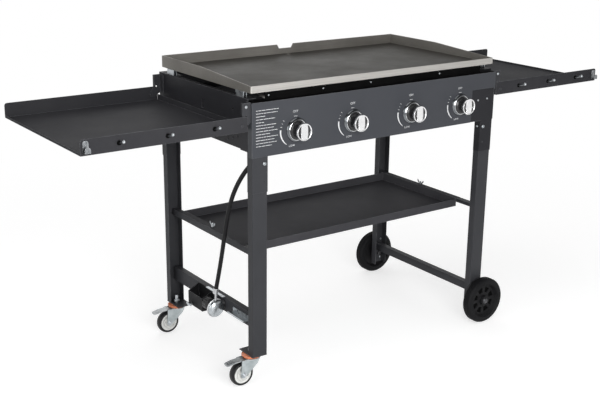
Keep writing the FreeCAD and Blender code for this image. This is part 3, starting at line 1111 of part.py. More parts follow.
def make_regulator():
    """Die-cast regulator disc with its stem and ferrule, and the hand nut on its outlet."""
    centre = (REGULATOR_X, REGULATOR_Y - REGULATOR_DEPTH / 2, REGULATOR_Z)
    r = REGULATOR_RADIUS
    depth = REGULATOR_DEPTH
    nipple = BRACKET_FRONT_Y - centre[1]
    dome = REGULATOR_DOME_RADIUS
    profile = ((0, 0), (dome * 0.5, 1.5), (dome * 0.87, 6), (dome, 12), (r, 13), (r, 18),
               (dome, 19), (14, depth), (NIPPLE_RADIUS, depth), (NIPPLE_RADIUS, nipple), (0, nipple))
    body = turned(profile, centre, ALONG_Y)
    before, end = hose_points()[-2:]
    down = (end - before).normalize()
    ferrule_end = end + down * FERRULE_LENGTH
    ferrule = rod(FERRULE_RADIUS, end, ferrule_end)
    stem = rod(REGULATOR_STEM_RADIUS, end + down, (REGULATOR_X, REGULATOR_Y, REGULATOR_Z + dome - 4))
    vent_z = REGULATOR_Z + 12
    vent = rod(VENT_TUBE_RADIUS, (REGULATOR_X + 8, REGULATOR_Y, vent_z),
               (-BAR_X - 2, REGULATOR_Y, vent_z))
    save("gas_regulator", joined(body, stem, ferrule, vent))

    length = HAND_NUT_BACK_Y - HAND_NUT_FRONT_Y
    bore = NIPPLE_RADIUS + RUNNING
    nut = turned(((bore, 0), (HAND_NUT_RADIUS - 6, 0), (HAND_NUT_RADIUS - 1, 5),
                  (HAND_NUT_RADIUS, length),
                  (bore, length)), (REGULATOR_X, HAND_NUT_FRONT_Y, REGULATOR_Z), ALONG_Y)
    for number in range(HAND_NUT_RIBS):
        angle = 2 * math.pi * number / HAND_NUT_RIBS
        x = REGULATOR_X + (HAND_NUT_RADIUS + 1.5) * math.cos(angle)
        z = REGULATOR_Z + (HAND_NUT_RADIUS + 1.5) * math.sin(angle)
        nut = nut.cut(rod(3.5, (x, HAND_NUT_FRONT_Y - 1, z), (x, HAND_NUT_BACK_Y + 1, z)))
    save("regulator_hand_nut", nut)


def make_tank_holder():
    """Bracket, plates and clamp screw on the left lower bar, where the gas tank hangs."""
    bar = -BAR_X
    top = LEFT_BAR_HIGH
    cheeks = []
    for y in (BRACKET_FRONT_Y, BRACKET_BACK_Y - BRACKET_SHEET):
        outline = ((bar, y, top), (bar - BRACKET_REACH, y, top - BRACKET_SLOPE),
                   (bar - BRACKET_REACH, y, BRACKET_LOW),
                   (bar, y, BRACKET_LOW))
        cheeks.append(prism(outline, (0, BRACKET_SHEET, 0)))
    back = block((bar, bar - BRACKET_SHEET), (BRACKET_FRONT_Y, BRACKET_BACK_Y), (BRACKET_LOW, top))
    outer_x = bar - BRACKET_REACH
    outer = block((outer_x, outer_x + BRACKET_SHEET), (BRACKET_FRONT_Y, BRACKET_BACK_Y),
                  (BRACKET_LOW, top - BRACKET_SLOPE))
    bracket = joined(back, outer, *cheeks)
    hole_x = REGULATOR_X
    bracket = bracket.cut(rod(NIPPLE_RADIUS + 1, (hole_x, BRACKET_FRONT_Y - 1, REGULATOR_Z),
                              (hole_x, BRACKET_FRONT_Y + BRACKET_SHEET + 1, REGULATOR_Z)))
    save("tank_bracket", bracket)

    support_y = (FRONT_Y + SUPPORT_INSET, FRONT_Y + SUPPORT_INSET + SUPPORT_LENGTH)
    support_z = LEFT_BAR_LOW + SUPPORT_RISE
    reach = bar - SUPPORT_REACH
    support = block((bar, reach), support_y, (support_z, support_z + ZINC_SHEET))
    rim = block((reach, reach + ZINC_SHEET), support_y, (support_z, support_z + 6))
    tab = block((bar, bar - ZINC_SHEET), support_y, (support_z, support_z + 16))
    support = joined(support, rim, tab)
    strip_y = (FRONT_Y + STRIP_INSET, FRONT_Y + STRIP_INSET + STRIP_LENGTH)
    strip = block((bar + 2, bar - 8), strip_y, (top, top + ZINC_SHEET))
    save("tank_support_plates", support, strip)


make_control_panel()
make_fire_box()
make_burner_rails()
make_gas_train()
make_knobs()
make_sleeves_and_legs()
make_bars_and_tray()
make_fasteners()
make_wheels()
make_casters()
make_shelves()
make_cook_plate()
make_grease_cup()
make_hose()
make_regulator()
make_tank_holder()
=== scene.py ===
import bpy
import bmesh
import json
import math
from mathutils import Matrix, Vector

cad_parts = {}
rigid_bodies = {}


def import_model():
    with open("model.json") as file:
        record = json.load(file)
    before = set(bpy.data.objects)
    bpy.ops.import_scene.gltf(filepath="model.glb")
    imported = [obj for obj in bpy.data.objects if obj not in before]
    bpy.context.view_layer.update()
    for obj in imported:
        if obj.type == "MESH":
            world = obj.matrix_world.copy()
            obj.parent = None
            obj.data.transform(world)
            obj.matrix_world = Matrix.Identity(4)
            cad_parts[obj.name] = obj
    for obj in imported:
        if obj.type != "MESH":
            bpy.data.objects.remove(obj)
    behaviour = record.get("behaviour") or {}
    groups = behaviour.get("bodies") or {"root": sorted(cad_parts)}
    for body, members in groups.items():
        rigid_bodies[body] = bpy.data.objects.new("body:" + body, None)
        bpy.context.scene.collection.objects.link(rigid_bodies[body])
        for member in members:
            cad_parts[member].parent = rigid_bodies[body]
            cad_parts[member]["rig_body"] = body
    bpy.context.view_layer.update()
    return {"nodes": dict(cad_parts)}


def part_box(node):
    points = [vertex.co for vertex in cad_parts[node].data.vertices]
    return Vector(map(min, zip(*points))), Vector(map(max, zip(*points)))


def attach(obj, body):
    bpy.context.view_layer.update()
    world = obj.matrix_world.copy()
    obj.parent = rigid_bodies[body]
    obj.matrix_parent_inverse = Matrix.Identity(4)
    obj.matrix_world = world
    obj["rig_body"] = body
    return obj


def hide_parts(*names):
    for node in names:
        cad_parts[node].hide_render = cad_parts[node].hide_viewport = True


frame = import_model()


# Camera
# It stands in front and to the left of the station, a little above the cook plate, and looks
# down along the control panel. Its place was fitted to the edges of the station.
CAMERA_PLACE = (-1.9185, -2.5258, 1.4057)
CAMERA_TURN = 0.6183
CAMERA_TILT = -0.2995
CAMERA_ROLL = 0.0104


def add_object(name, data):
    """An object at the origin, linked to the scene."""
    thing = bpy.data.objects.new(name, data)
    bpy.context.scene.collection.objects.link(thing)
    return thing


camera_lens = bpy.data.cameras.new("studio_camera")
camera_lens.sensor_width = 36.0
camera_lens.lens = 61.27
camera_lens.shift_x = 0.0047
camera_lens.shift_y = 0.0005
camera_lens.clip_end = 60.0
camera = add_object("studio_camera", camera_lens)
camera.matrix_world = (
    Matrix.Translation(CAMERA_PLACE)
    @ Matrix.Rotation(-CAMERA_TURN, 4, "Z")
    @ Matrix.Rotation(math.pi / 2 + CAMERA_TILT, 4, "X")
    @ Matrix.Rotation(CAMERA_ROLL, 4, "Z")
)
bpy.context.scene.camera = camera


# Gas hose
# A smooth black rubber hose, crimped to the brass elbow at the left end of the manifold and to
# the stem of the regulator. It is stiff and hangs in one easy bend between its two ends.
HOSE_RADIUS = 0.0065
HOSE_ROUTE = (
    (-0.4300, -0.2240, 0.7120), (-0.4300, -0.2240, 0.6702), (-0.4399, -0.1960, 0.6399),
    (-0.4454, -0.1540, 0.5841), (-0.4498, -0.1261, 0.5241), (-0.4542, -0.1079, 0.4479),
    (-0.4575, -0.0951, 0.3730), (-0.4608, -0.0761, 0.2902), (-0.4630, -0.0650, 0.2470),
)


def feed(tree, node, inputs):
    """Give the inputs of a node their values, or the outputs that feed them."""
    for name, value in inputs.items():
        if isinstance(value, bpy.types.NodeSocket):
            tree.links.new(value, node.inputs[name])
        else:
            node.inputs[name].default_value = value


def add(tree, kind, inputs=None, **settings):
    """A shader node with its settings, and with its inputs fed."""
    node = tree.nodes.new(kind)
    for name, value in settings.items():
        setattr(node, name, value)
    feed(tree, node, inputs or {})
    return node


def here(tree):
    """The place of each point in the space of its object."""
    return add(tree, "ShaderNodeTexCoord").outputs["Object"]


def add_noise(tree, place, scale, detail, roughness):
    """The value of a noise at a place."""
    noise = add(tree, "ShaderNodeTexNoise", {
        "Vector": place, "Scale": scale, "Detail": detail, "Roughness": roughness})
    return noise.outputs["Fac"]


def carry(tree, value, low, high, new_low, new_high, curve="LINEAR"):
    """A value carried from one range to another."""
    ranges = add(tree, "ShaderNodeMapRange", {
        "Value": value, "From Min": low, "From Max": high, "To Min": new_low,
        "To Max": new_high}, interpolation_type=curve)
    return ranges.outputs["Result"]


def start_effect(name, inputs, outputs):
    """A node group with number inputs and outputs, what it is given, and its end node."""
    group = bpy.data.node_groups.new(name, "ShaderNodeTree")
    for label, value in inputs.items():
        socket = group.interface.new_socket(label, in_out="INPUT", socket_type="NodeSocketFloat")
        socket.default_value = value
    for label in outputs:
        group.interface.new_socket(label, in_out="OUTPUT", socket_type="NodeSocketFloat")
    given = group.nodes.new("NodeGroupInput").outputs
    return group, given, group.nodes.new("NodeGroupOutput")


def use_effect(tree, effect, **inputs):
    """The outputs of an effect, with its inputs fed."""
    return add(tree, "ShaderNodeGroup", inputs, node_tree=effect).outputs


def make_unevenness():
    """Soft blotches between a low and a high value, as in any sprayed or handled surface."""
    inputs = {"Scale": 8.0, "Low": 0.3, "High": 0.5}
    group, given, end = start_effect("unevenness", inputs, ("Value",))
    noise = add_noise(group, here(group), given["Scale"], 4.0, 0.62)
    feed(group, end, {"Value": carry(group, noise, 0.32, 0.68, given["Low"], given["High"])})
    return group


def make_fine_grain():
    """Height of a fine even grain: orange peel of powder coat, skin of rubber or cast metal."""
    inputs = {"Scale": 900.0, "Sharpness": 0.5}
    group, given, end = start_effect("fine_grain", inputs, ("Height",))
    noise = add_noise(group, here(group), given["Scale"], 3.0, given["Sharpness"])
    feed(group, end, {"Height": noise})
    return group


unevenness = make_unevenness()
fine_grain = make_fine_grain()


def mix_colours(tree, factor, first, second, blend_type="MIX"):
    """The colour that a factor picks between two others."""
    mix = add(tree, "ShaderNodeMix", {0: factor, 6: first, 7: second}, data_type="RGBA",
              blend_type=blend_type)
    return mix.outputs[2]


def make_finish(name, dark, light, blotches, gloss, grain, gleam=0.5, metal=0.0):
    """A material whose colour runs between two tones and whose roughness is uneven.

    blotches is the size of the tone pattern, gloss the scale, low and high of the roughness,
    grain the scale, sharpness and depth of the fine bumps, and gleam the specular level.
    """
    finish = bpy.data.materials.new(name)
    finish.use_nodes = True
    tree = finish.node_tree
    tone = use_effect(tree, unevenness, Scale=blotches, Low=0.0, High=1.0)
    rough = use_effect(tree, unevenness, Scale=gloss[0], Low=gloss[1], High=gloss[2])
    peel = use_effect(tree, fine_grain, Scale=grain[0], Sharpness=grain[1])
    bump = add(tree, "ShaderNodeBump", {
        "Strength": 0.6, "Distance": grain[2], "Height": peel["Height"]})
    feed(tree, tree.nodes["Principled BSDF"], {
        "Base Color": mix_colours(tree, tone["Value"], (*dark, 1.0), (*light, 1.0)),
        "Metallic": metal, "Roughness": rough["Value"], "Specular IOR Level": gleam,
        "Normal": bump.outputs["Normal"]})
    return finish


hose_rubber = make_finish(
    "hose_rubber", (0.006, 0.006, 0.007), (0.011, 0.011, 0.012), 30.0,
    (60.0, 0.42, 0.54), (1400.0, 0.6, 0.0001), gleam=0.2)

hose_line = bpy.data.curves.new("supply_hose", "CURVE")
hose_line.dimensions = "3D"
hose_line.bevel_depth = HOSE_RADIUS
hose_line.bevel_resolution = 6
hose_line.resolution_u = 16
hose_line.use_fill_caps = True
spline = hose_line.splines.new("NURBS")
spline.points.add(len(HOSE_ROUTE) - 1)
for point, place in zip(spline.points, HOSE_ROUTE):
    point.co = (*place, 1.0)
spline.order_u = 3
spline.use_endpoint_u = True
hose_line.materials.append(hose_rubber)
hose = add_object("supply_hose", hose_line)
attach(hose, "frame")
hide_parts("gas_hose")


def facing(place, outward):
    """The turn and shift that set a form made about the Z axis at a place, facing outward."""
    turn = Vector((0, 0, 1)).rotation_difference(Vector(outward)).to_matrix().to_4x4()
    return Matrix.Translation(place) @ turn


def lathe(form, profile, base, along, steps, closed=False):
    """Turn (radius, distance) points about the axis that starts at base and points along."""
    place = facing(base, along)
    chain = [form.verts.new(place @ Vector((radius, 0, distance))) for radius, distance in profile]
    pairs = list(zip(chain, chain[1:]))
    if closed:
        pairs.append((chain[-1], chain[0]))
    edges = [form.edges.new(pair) for pair in pairs]
    bmesh.ops.spin(form, geom=chain + edges, cent=base, axis=along, dvec=(0, 0, 0),
                   angle=2 * math.pi, steps=steps, use_merge=True, use_duplicate=False)


def soften(form, radius, angle=30.0, segments=2):
    """Round every edge that turns by more than an angle in degrees, and mark it for wear and a
    painted edge highlight.
    """
    wear_and_highlight = form.faces.layers.float.get("edge_wear_and_highlight") or form.faces.layers.float.new("edge_wear_and_highlight")
    sharp = [edge for edge in form.edges
             if len(edge.link_faces) == 2 and edge.calc_face_angle() > math.radians(angle)]
    made = bmesh.ops.bevel(form, geom=sharp, offset=radius, offset_type="OFFSET", affect="EDGES",
                           segments=segments, profile=0.5, material=-1, clamp_overlap=False)
    for face in made["faces"]:
        face[wear_and_highlight] = 1.0


def close_up(form):
    """Join the ends of what was turned, and set every face outward."""
    bmesh.ops.remove_doubles(form, verts=form.verts, dist=0.000002)
    bmesh.ops.recalc_face_normals(form, faces=form.faces)


def fit_piece(name, form, finish, body, stands_for=(), inlay=None):
    """Close and shade a modelled form, and let it ride on a body of the station.

    Faces with material index 1 take the inlay's finish.
    """
    close_up(form)
    mesh = bpy.data.meshes.new(name)
    form.to_mesh(mesh)
    form.free()
    if "custom_normal" in mesh.attributes:
        mesh.attributes.remove(mesh.attributes["custom_normal"])
    mesh.materials.append(finish)
    if inlay:
        mesh.materials.append(inlay)
    mesh.shade_smooth()
    mesh.set_sharp_from_angle(angle=math.radians(40))
    piece = add_object(name, mesh)
    even = piece.modifiers.new("even_shading", "WEIGHTED_NORMAL")
    even.keep_sharp = True
    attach(piece, body)
    if stands_for:
        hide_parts(*stands_for)
    return piece


def make_metal(*look):
    """A bare or plated metal, with the look that make_finish takes."""
    return make_finish(*look, metal=1.0)


zinc = make_metal("zinc_plate", (0.38, 0.41, 0.43), (0.55, 0.57, 0.59), 55.0,
                  (70.0, 0.24, 0.40), (500.0, 0.5, 0.0001))

CRIMP_LENGTH = 0.022
CRIMP = ((0.0066, 0.0), (0.0080, 0.0), (0.0084, 0.001), (0.0084, 0.006), (0.0076, 0.008),
         (0.0076, 0.010), (0.0084, 0.012), (0.0084, 0.020), (0.0080, CRIMP_LENGTH),
         (0.0066, CRIMP_LENGTH))
form = bmesh.new()
lathe(form, CRIMP, HOSE_ROUTE[0], (0, 0, -1), 32, closed=True)
hose_crimp = fit_piece("hose_crimp", form, zinc, "frame")


# Stand
# Four legs of folded channel steel, two side bars above and two below, all in satin black powder
# coat. The legs slide into the corner sleeves of the fire box and are bolted there.
SHEET_EDGE = 0.00045


def shape_of(node, edge_radius=SHEET_EDGE):
    """The shape of a CAD node as one closed form with rounded edges."""
    form = bmesh.new()
    form.from_mesh(frame["nodes"][node].data)
    bmesh.ops.remove_doubles(form, verts=form.verts, dist=0.00001)
    bmesh.ops.dissolve_limit(form, angle_limit=math.radians(1.0), verts=form.verts,
                             edges=form.edges)
    soften(form, edge_radius)
    return form


def dress(node, finish, edge_radius=SHEET_EDGE):
    """A finished piece in the shape and place of a CAD node."""
    return fit_piece("finished_" + node, shape_of(node, edge_radius), finish,
                     frame["nodes"][node]["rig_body"], [node])


def calculate(tree, operation, first, second):
    """The output of a sum on two values or outputs."""
    sum_node = add(tree, "ShaderNodeMath", {0: first, 1: second}, operation=operation)
    return sum_node.outputs["Value"]


def make_edge_wear_and_highlight():
    """Mask of the rounded edges, broken up as handling breaks a coat: real wear together with a
    painted highlight along the edges.
    """
    group, given, end = start_effect("edge_wear_and_highlight", {"Scale": 40.0, "Amount": 0.5}, ("Mask",))
    noise = add_noise(group, here(group), given["Scale"], 3.0, 0.5)
    broken = carry(group, noise, 0.35, 0.65, 0.3, 1.0)
    edges = add(group, "ShaderNodeAttribute", attribute_name="edge_wear_and_highlight")
    strength = calculate(group, "MULTIPLY", edges.outputs["Fac"], given["Amount"])
    feed(group, end, {"Mask": calculate(group, "MULTIPLY", strength, broken)})
    return group


edge_wear_and_highlight = make_edge_wear_and_highlight()
# Pale tone of the rounded edges: partly real wear, partly a painted highlight.
PALE_EDGE = (0.17, 0.175, 0.185, 1.0)


def make_coat(*look):
    """Powder coat over sheet steel, paler along its rounded edges for wear and a painted
    highlight, with make_finish's look.
    """
    finish = make_finish(*look)
    tree = finish.node_tree
    shader = tree.nodes["Principled BSDF"]
    wear_and_highlight = use_effect(tree, edge_wear_and_highlight, Scale=45.0, Amount=0.8)
    colour = shader.inputs["Base Color"].links[0].from_socket
    feed(tree, shader, {"Base Color": mix_colours(tree, wear_and_highlight["Mask"], colour, PALE_EDGE)})
    return finish


black_coat = make_coat(
    "black_powder_coat", (0.037, 0.038, 0.042), (0.047, 0.048, 0.053), 3.0,
    (5.0, 0.44, 0.52), (1100.0, 0.45, 0.00016), 0.15)
for node in ("leg_front_left", "leg_front_right", "leg_back_left", "leg_back_right",
             "upper_side_bars", "lower_side_bars"):
    dress(node, black_coat)


# Lower tray
# One sheet of steel with folded walls and flat rims that lie on the upper side bars. It has the
# same coat with a rougher, slightly warmer skin, and a wing nut holds each rim down.
tray_coat = make_coat(
    "tray_powder_coat", (0.050, 0.050, 0.055), (0.065, 0.064, 0.070), 3.0,
    (5.0, 0.56, 0.64), (900.0, 0.5, 0.00022), 0.04)
dress("bottom_tray", tray_coat)
dress("wing_nuts", zinc, 0.0004)


# Large wheels
# Two moulded plastic wheels with a thick grooved tyre and eight blind pockets between the spokes.
# They turn on stub axles through the right legs, held by pressed caps.
WHEEL_STEPS = 96
WHEEL_BUTTONS = 24
BUTTON_RING = 0.0478
WHEEL_WIDTH = 0.034
TYRE_DEPTH = 0.021
WEB = 0.0045
POCKET_INNER = 0.0262
POCKET_OUTER = 0.0458
POCKET_START = 8.0
POCKET_END = 37.0
wheel_plastic = make_finish(
    "wheel_plastic", (0.010, 0.010, 0.011), (0.017, 0.017, 0.018), 14.0,
    (24.0, 0.42, 0.56), (700.0, 0.5, 0.0002), gleam=0.1)
wheel_rubber = make_finish(
    "wheel_rubber", (0.007, 0.007, 0.008), (0.012, 0.012, 0.013), 10.0,
    (18.0, 0.50, 0.64), (520.0, 0.6, 0.0003), gleam=0.1)
# The floors of the blind pockets take a near-black finish: a painted shade of the recesses.
pocket_painted_shade = make_finish(
    "pocket_painted_shade", (0.0015, 0.0015, 0.0015), (0.003, 0.003, 0.003), 20.0,
    (24.0, 0.60, 0.72), (700.0, 0.5, 0.0002), gleam=0.05)


def make_tyre(centre, outward, radius):
    """Ring with rounded shoulders and three grooves round its tread."""
    form = bmesh.new()
    inner = radius - TYRE_DEPTH
    half = WHEEL_WIDTH / 2
    profile = [(inner, -half + 0.0015), (inner + 0.0015, -half), (radius - 0.008, -half),
               (radius - 0.0035, -half + 0.002), (radius - 0.001, -half + 0.0055)]
    for groove in (-0.0075, 0.0, 0.0075):
        profile += [(radius, groove - 0.0016), (radius - 0.0014, groove - 0.0010),
                    (radius - 0.0014, groove + 0.0010), (radius, groove + 0.0016)]
    profile += [(radius - 0.001, half - 0.0055), (radius - 0.0035, half - 0.002),
                (radius - 0.008, half), (inner + 0.0015, half), (inner, half - 0.0015)]
    lathe(form, profile, centre, outward, WHEEL_STEPS, closed=True)
    return form


def sink(form, faces, steps):
    """Press faces in by steps of (rim, depth), and give their floor the inlay's finish, a painted
    shade of the recess.
    """
    for rim, depth in steps:
        bmesh.ops.inset_region(form, faces=faces, thickness=rim, depth=depth,
                               use_even_offset=True)
    for face in faces:
        face.material_index = 1


def make_wheel_disc(centre, outward, radius):
    """Web with eight blind pockets, a flared rim round it, a hub and a ring of buttons."""
    form = bmesh.new()
    rim = radius - TYRE_DEPTH
    half = WHEEL_WIDTH / 2
    profile = ((0.0052, -0.0215), (0.0160, -0.0215), (0.0170, -0.0205), (0.0170, -WEB),
               (rim - 0.006, -WEB), (rim - 0.0005, -half + 0.0010), (rim, -half + 0.0015),
               (rim, half - 0.0015), (rim - 0.0005, half - 0.0010), (rim - 0.0058, WEB + 0.0006),
               (rim - 0.0066, WEB), (0.0460, WEB), (0.0370, WEB), (0.0260, WEB), (0.0180, WEB),
               (0.0170, WEB + 0.0010), (0.0170, 0.0142), (0.0160, 0.0155), (0.0052, 0.0155))
    lathe(form, profile, (0, 0, 0), (0, 0, 1), WHEEL_STEPS, closed=True)
    close_up(form)
    pockets = []
    for face in form.faces:
        middle = face.calc_center_median()
        reach = math.hypot(middle.x, middle.y)
        angle = math.degrees(math.atan2(middle.y, middle.x)) % 45.0
        if (abs(middle.z - WEB) < 0.00001 and POCKET_INNER < reach < POCKET_OUTER
                and POCKET_START < angle < POCKET_END):
            pockets.append(face)
    sink(form, pockets, ((0.0008, -0.0006), (0.0006, -0.0033)))
    for number in range(WHEEL_BUTTONS):
        angle = 2 * math.pi * number / WHEEL_BUTTONS
        spot = (BUTTON_RING * math.cos(angle), BUTTON_RING * math.sin(angle), WEB - 0.0002)
        lathe(form, ((0.0, 0.0012), (0.0009, 0.0011), (0.0013, 0.0)), spot, (0, 0, 1), 10)
    bmesh.ops.transform(form, matrix=facing(centre, outward), verts=form.verts)
    return form


for place, outward in (("front", (0, -1, 0)), ("back", (0, 1, 0))):
    node = "wheel_" + place
    low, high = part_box(node)
    hub_face = high.y if outward[1] > 0 else low.y
    centre = Vector(((low.x + high.x) / 2, hub_face - outward[1] * 0.016, (low.z + high.z) / 2))
    radius = (high.z - low.z) / 2
    fit_piece("tyre_of_" + node, make_tyre(centre, outward, radius), wheel_rubber,
              node, [node])
    fit_piece("disc_of_" + node, make_wheel_disc(centre, outward, radius), wheel_plastic,
              node, inlay=pocket_painted_shade)
axle_steel = make_metal("axle_steel", (0.07, 0.07, 0.075), (0.13, 0.13, 0.135), 60.0,
                        (60.0, 0.34, 0.48), (500.0, 0.5, 0.0001))
dress("wheel_axles", axle_steel, 0.0004)


# Casters
# Two locking swivel casters below the left legs: a black plate across the foot of the leg, an
# orange race, a bright pressed fork, a white hub with a black tyre, and a brake pedal.
tyre_rubber = make_finish(
    "caster_rubber", (0.004, 0.004, 0.005), (0.008, 0.008, 0.009), 40.0,
    (60.0, 0.30, 0.42), (1500.0, 0.5, 0.0001), gleam=0.3)
hub_nylon = make_finish(
    "hub_nylon", (0.70, 0.71, 0.69), (0.80, 0.80, 0.78), 50.0,
    (60.0, 0.34, 0.44), (900.0, 0.5, 0.0001))
race_paint = make_finish(
    "orange_race", (0.62, 0.19, 0.09), (0.78, 0.27, 0.14), 60.0,
    (60.0, 0.30, 0.42), (900.0, 0.5, 0.0001))
fork_steel = make_metal("fork_steel", (0.36, 0.40, 0.41), (0.52, 0.56, 0.57), 45.0,
                        (60.0, 0.30, 0.42), (600.0, 0.5, 0.0001))
pedal_steel = make_metal("pedal_steel", (0.36, 0.38, 0.39), (0.54, 0.56, 0.57), 45.0,
                         (60.0, 0.34, 0.48), (600.0, 0.5, 0.0001))
SWIVEL_X = -0.442
RACE_LOW = 0.084
STUD_SEAT = 0.0999
MOUNT_SIZE = (0.049, 0.075, 0.003)
MOUNT_X = -0.4335
MOUNT_Z = 0.0935
MOUNT_INWARD = 0.0025
PRESSED_EDGE = 0.0006
RACE = ((0.0060, 0.0), (0.0250, 0.0), (0.0262, 0.0008), (0.0262, 0.0022), (0.0252, 0.0030),
        (0.0285, 0.0036), (0.0290, 0.0046), (0.0290, 0.0066), (0.0280, 0.0078), (0.0060, 0.0080))
KING_BOLT = ((0.0, 0.022), (0.0042, 0.022), (0.0049, 0.021), (0.0049, -0.024), (0.0078, -0.024),
             (0.0078, -0.0268), (0.0062, -0.028), (0.0, -0.028))
NUT_RADIUS = 0.0090
NUT_HEIGHT = 0.0075
AXLE_NUT = ((0.0, 0.0052), (0.0030, 0.0052), (0.0040, 0.0044), (0.0040, 0.0036),
            (0.0056, 0.0036), (0.0064, 0.0030), (0.0064, 0.0011), (0.0088, 0.0009),
            (0.0088, -0.0003), (0.0, -0.0003))
FORK_HALF_WIDTH = 0.0170
PEDAL_RIB_PLACES = (0.0022, 0.0120, 0.0185)
PEDAL_RIB_RADIUS = 0.0014
PEDAL_TOE_HEIGHT = 0.0033
PEDAL_SLOPE = 0.2


def add_block(form, size, place, turn=0.0):
    """A block centred at a place and turned about the Y axis."""
    bmesh.ops.create_cube(form, size=1.0, matrix=Matrix.LocRotScale(
        place, Matrix.Rotation(turn, 3, "Y"), size))


def add_swivel_stud(form, centre):
    """King bolt through the plate, with its nut above and its round head below."""
    lathe(form, KING_BOLT, centre, (0, 0, 1), 32)
    nut = bmesh.ops.create_cone(form, cap_ends=True, segments=6, radius1=NUT_RADIUS,
                                radius2=NUT_RADIUS, depth=NUT_HEIGHT)["verts"]
    bmesh.ops.translate(form, verts=nut, vec=Vector(centre) + Vector((0, 0, 0.0038)))


def make_caster_tyre(centre):
    """Tyre with a rounded crown and a step down to the hub."""
    form = bmesh.new()
    profile = [(0.0281, -0.0100), (0.0305, -0.0110)]
    for step in range(9):
        angle = math.pi * (step / 8 - 0.5)
        profile.append((0.0330 + 0.0040 * math.cos(angle), 0.0110 * math.sin(angle)))
    profile += [(0.0305, 0.0110), (0.0281, 0.0100)]
    lathe(form, profile, centre, (0, 1, 0), 72, closed=True)
    return form


def make_caster_hub(centre):
    """White hub: a dished rim, a web and a boss round the axle."""
    form = bmesh.new()
    side = [(0.0042, 0.0140), (0.0080, 0.0140), (0.0092, 0.0130), (0.0096, 0.0062),
            (0.0122, 0.0050), (0.0130, 0.0082), (0.0172, 0.0086), (0.0180, 0.0046),
            (0.0212, 0.0040), (0.0222, 0.0092), (0.0258, 0.0104), (0.0281, 0.0100)]
    profile = side + [(radius, -distance) for radius, distance in reversed(side)]
    lathe(form, profile, centre, (0, 1, 0), 72, closed=True)
    return form


def make_axle_nuts(centre):
    """Washer and flanged nut on each end of the axle, outside the fork."""
    form = bmesh.new()
    for side in (-1, 1):
        seat = Vector(centre) + Vector((0, side * FORK_HALF_WIDTH, 0))
        lathe(form, AXLE_NUT, seat, (0, side, 0), 40)
    return form


def make_pedal(name):
    """Brake pedal with a rolled toe and two ribs pressed across it."""
    form = shape_of(name, PRESSED_EDGE)
    low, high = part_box(name)
    for place in PEDAL_RIB_PLACES:
        height = low.z + PEDAL_TOE_HEIGHT + place * PEDAL_SLOPE
        rib = bmesh.ops.create_cone(form, cap_ends=True, segments=16, radius1=PEDAL_RIB_RADIUS,
                                    radius2=PEDAL_RIB_RADIUS, depth=0.021,
                                    matrix=Matrix.Rotation(math.pi / 2, 4, "X"))["verts"]
        bmesh.ops.translate(form, verts=rib,
                            vec=(low.x + place, (low.y + high.y) / 2, height))
    return form


plates = bmesh.new()
studs = bmesh.new()
races = bmesh.new()
for name in ("front", "back"):
    low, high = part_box("caster_tyre_" + name)
    centre = (low + high) / 2
    add_block(plates, MOUNT_SIZE,
              (MOUNT_X, centre.y - math.copysign(MOUNT_INWARD, centre.y), MOUNT_Z))
    lathe(races, RACE, (SWIVEL_X, centre.y, RACE_LOW), (0, 0, 1), 64, closed=True)
    add_swivel_stud(studs, (SWIVEL_X, centre.y, STUD_SEAT))
    fit_piece("rubber_tyre_" + name, make_caster_tyre(centre), tyre_rubber,
              "caster_wheel_" + name, ["caster_tyre_" + name])
    fit_piece("white_hub_" + name, make_caster_hub(centre), hub_nylon,
              "caster_wheel_" + name, ["caster_hub_" + name])
    dress("caster_fork_" + name, fork_steel, PRESSED_EDGE)
    fit_piece("finished_brake_pedal_" + name, make_pedal("brake_pedal_" + name), pedal_steel,
              "pedal_" + name, ["brake_pedal_" + name])
    fit_piece("axle_nuts_" + name, make_axle_nuts(centre), zinc, "caster_" + name)
soften(plates, PRESSED_EDGE)
fit_piece("caster_plates", plates, black_coat, "frame", ["caster_mounts"])
fit_piece("caster_races", races, race_paint, "frame")
soften(studs, 0.0005)
fit_piece("caster_studs", studs, zinc, "frame")


# Fire box
# Side and back panels of coated sheet, corner sleeves welded inside them, and two rails that
# carry the burner tubes. The control panel closes the front and is folded back at its edges.
panel_coat = make_coat(
    "panel_powder_coat", (0.043, 0.046, 0.054), (0.052, 0.055, 0.063), 2.4,
    (4.0, 0.38, 0.46), (1200.0, 0.45, 0.00013), 0.25)
# A darker copy of the black coat: a painted shade on the sides, back and rails of the fire box.
painted_shade_coat = make_coat(
    "side_powder_coat", (0.017, 0.017, 0.020), (0.023, 0.023, 0.027), 3.0,
    (5.0, 0.44, 0.52), (1100.0, 0.45, 0.00016), 0.15)
for node in ("firebox_left_side", "firebox_right_side", "firebox_back", "burner_rails"):
    dress(node, painted_shade_coat)
SLOT_SHADE_SIZE = (0.0012, 0.072, 0.030)
SLOT_SHADE_PLACE = (-0.4586, -0.164, 0.733)
STRIP_SETBACK = 0.008
STRIP_BASE = 0.84
# Faces of the sleeves at the right front take the darker coat: a painted shade of that end.
form = shape_of("leg_sleeves")
for face in form.faces:
    middle = face.calc_center_median()
    if middle.x > 0.3 and middle.y < -0.2:
        face.material_index = 1
fit_piece("finished_leg_sleeves", form, black_coat, "frame", ["leg_sleeves"],
          inlay=painted_shade_coat)
# Near-black matt finish: a painted shade, for the riser strip under the plate, the slot in the
# left side and the roots of the pegs.
painted_shade_black = make_finish(
    "painted_shade_black", (0.002, 0.002, 0.002), (0.005, 0.005, 0.005), 9.0,
    (14.0, 0.64, 0.78), (900.0, 0.5, 0.0001), gleam=0.03)
# A near-black sheet in the slot of the left side of the fire box: a painted shade of the opening.
slot_shade_sheet = bmesh.new()
add_block(slot_shade_sheet, SLOT_SHADE_SIZE, SLOT_SHADE_PLACE)
fit_piece("slot_painted_shade", slot_shade_sheet, painted_shade_black, "frame")
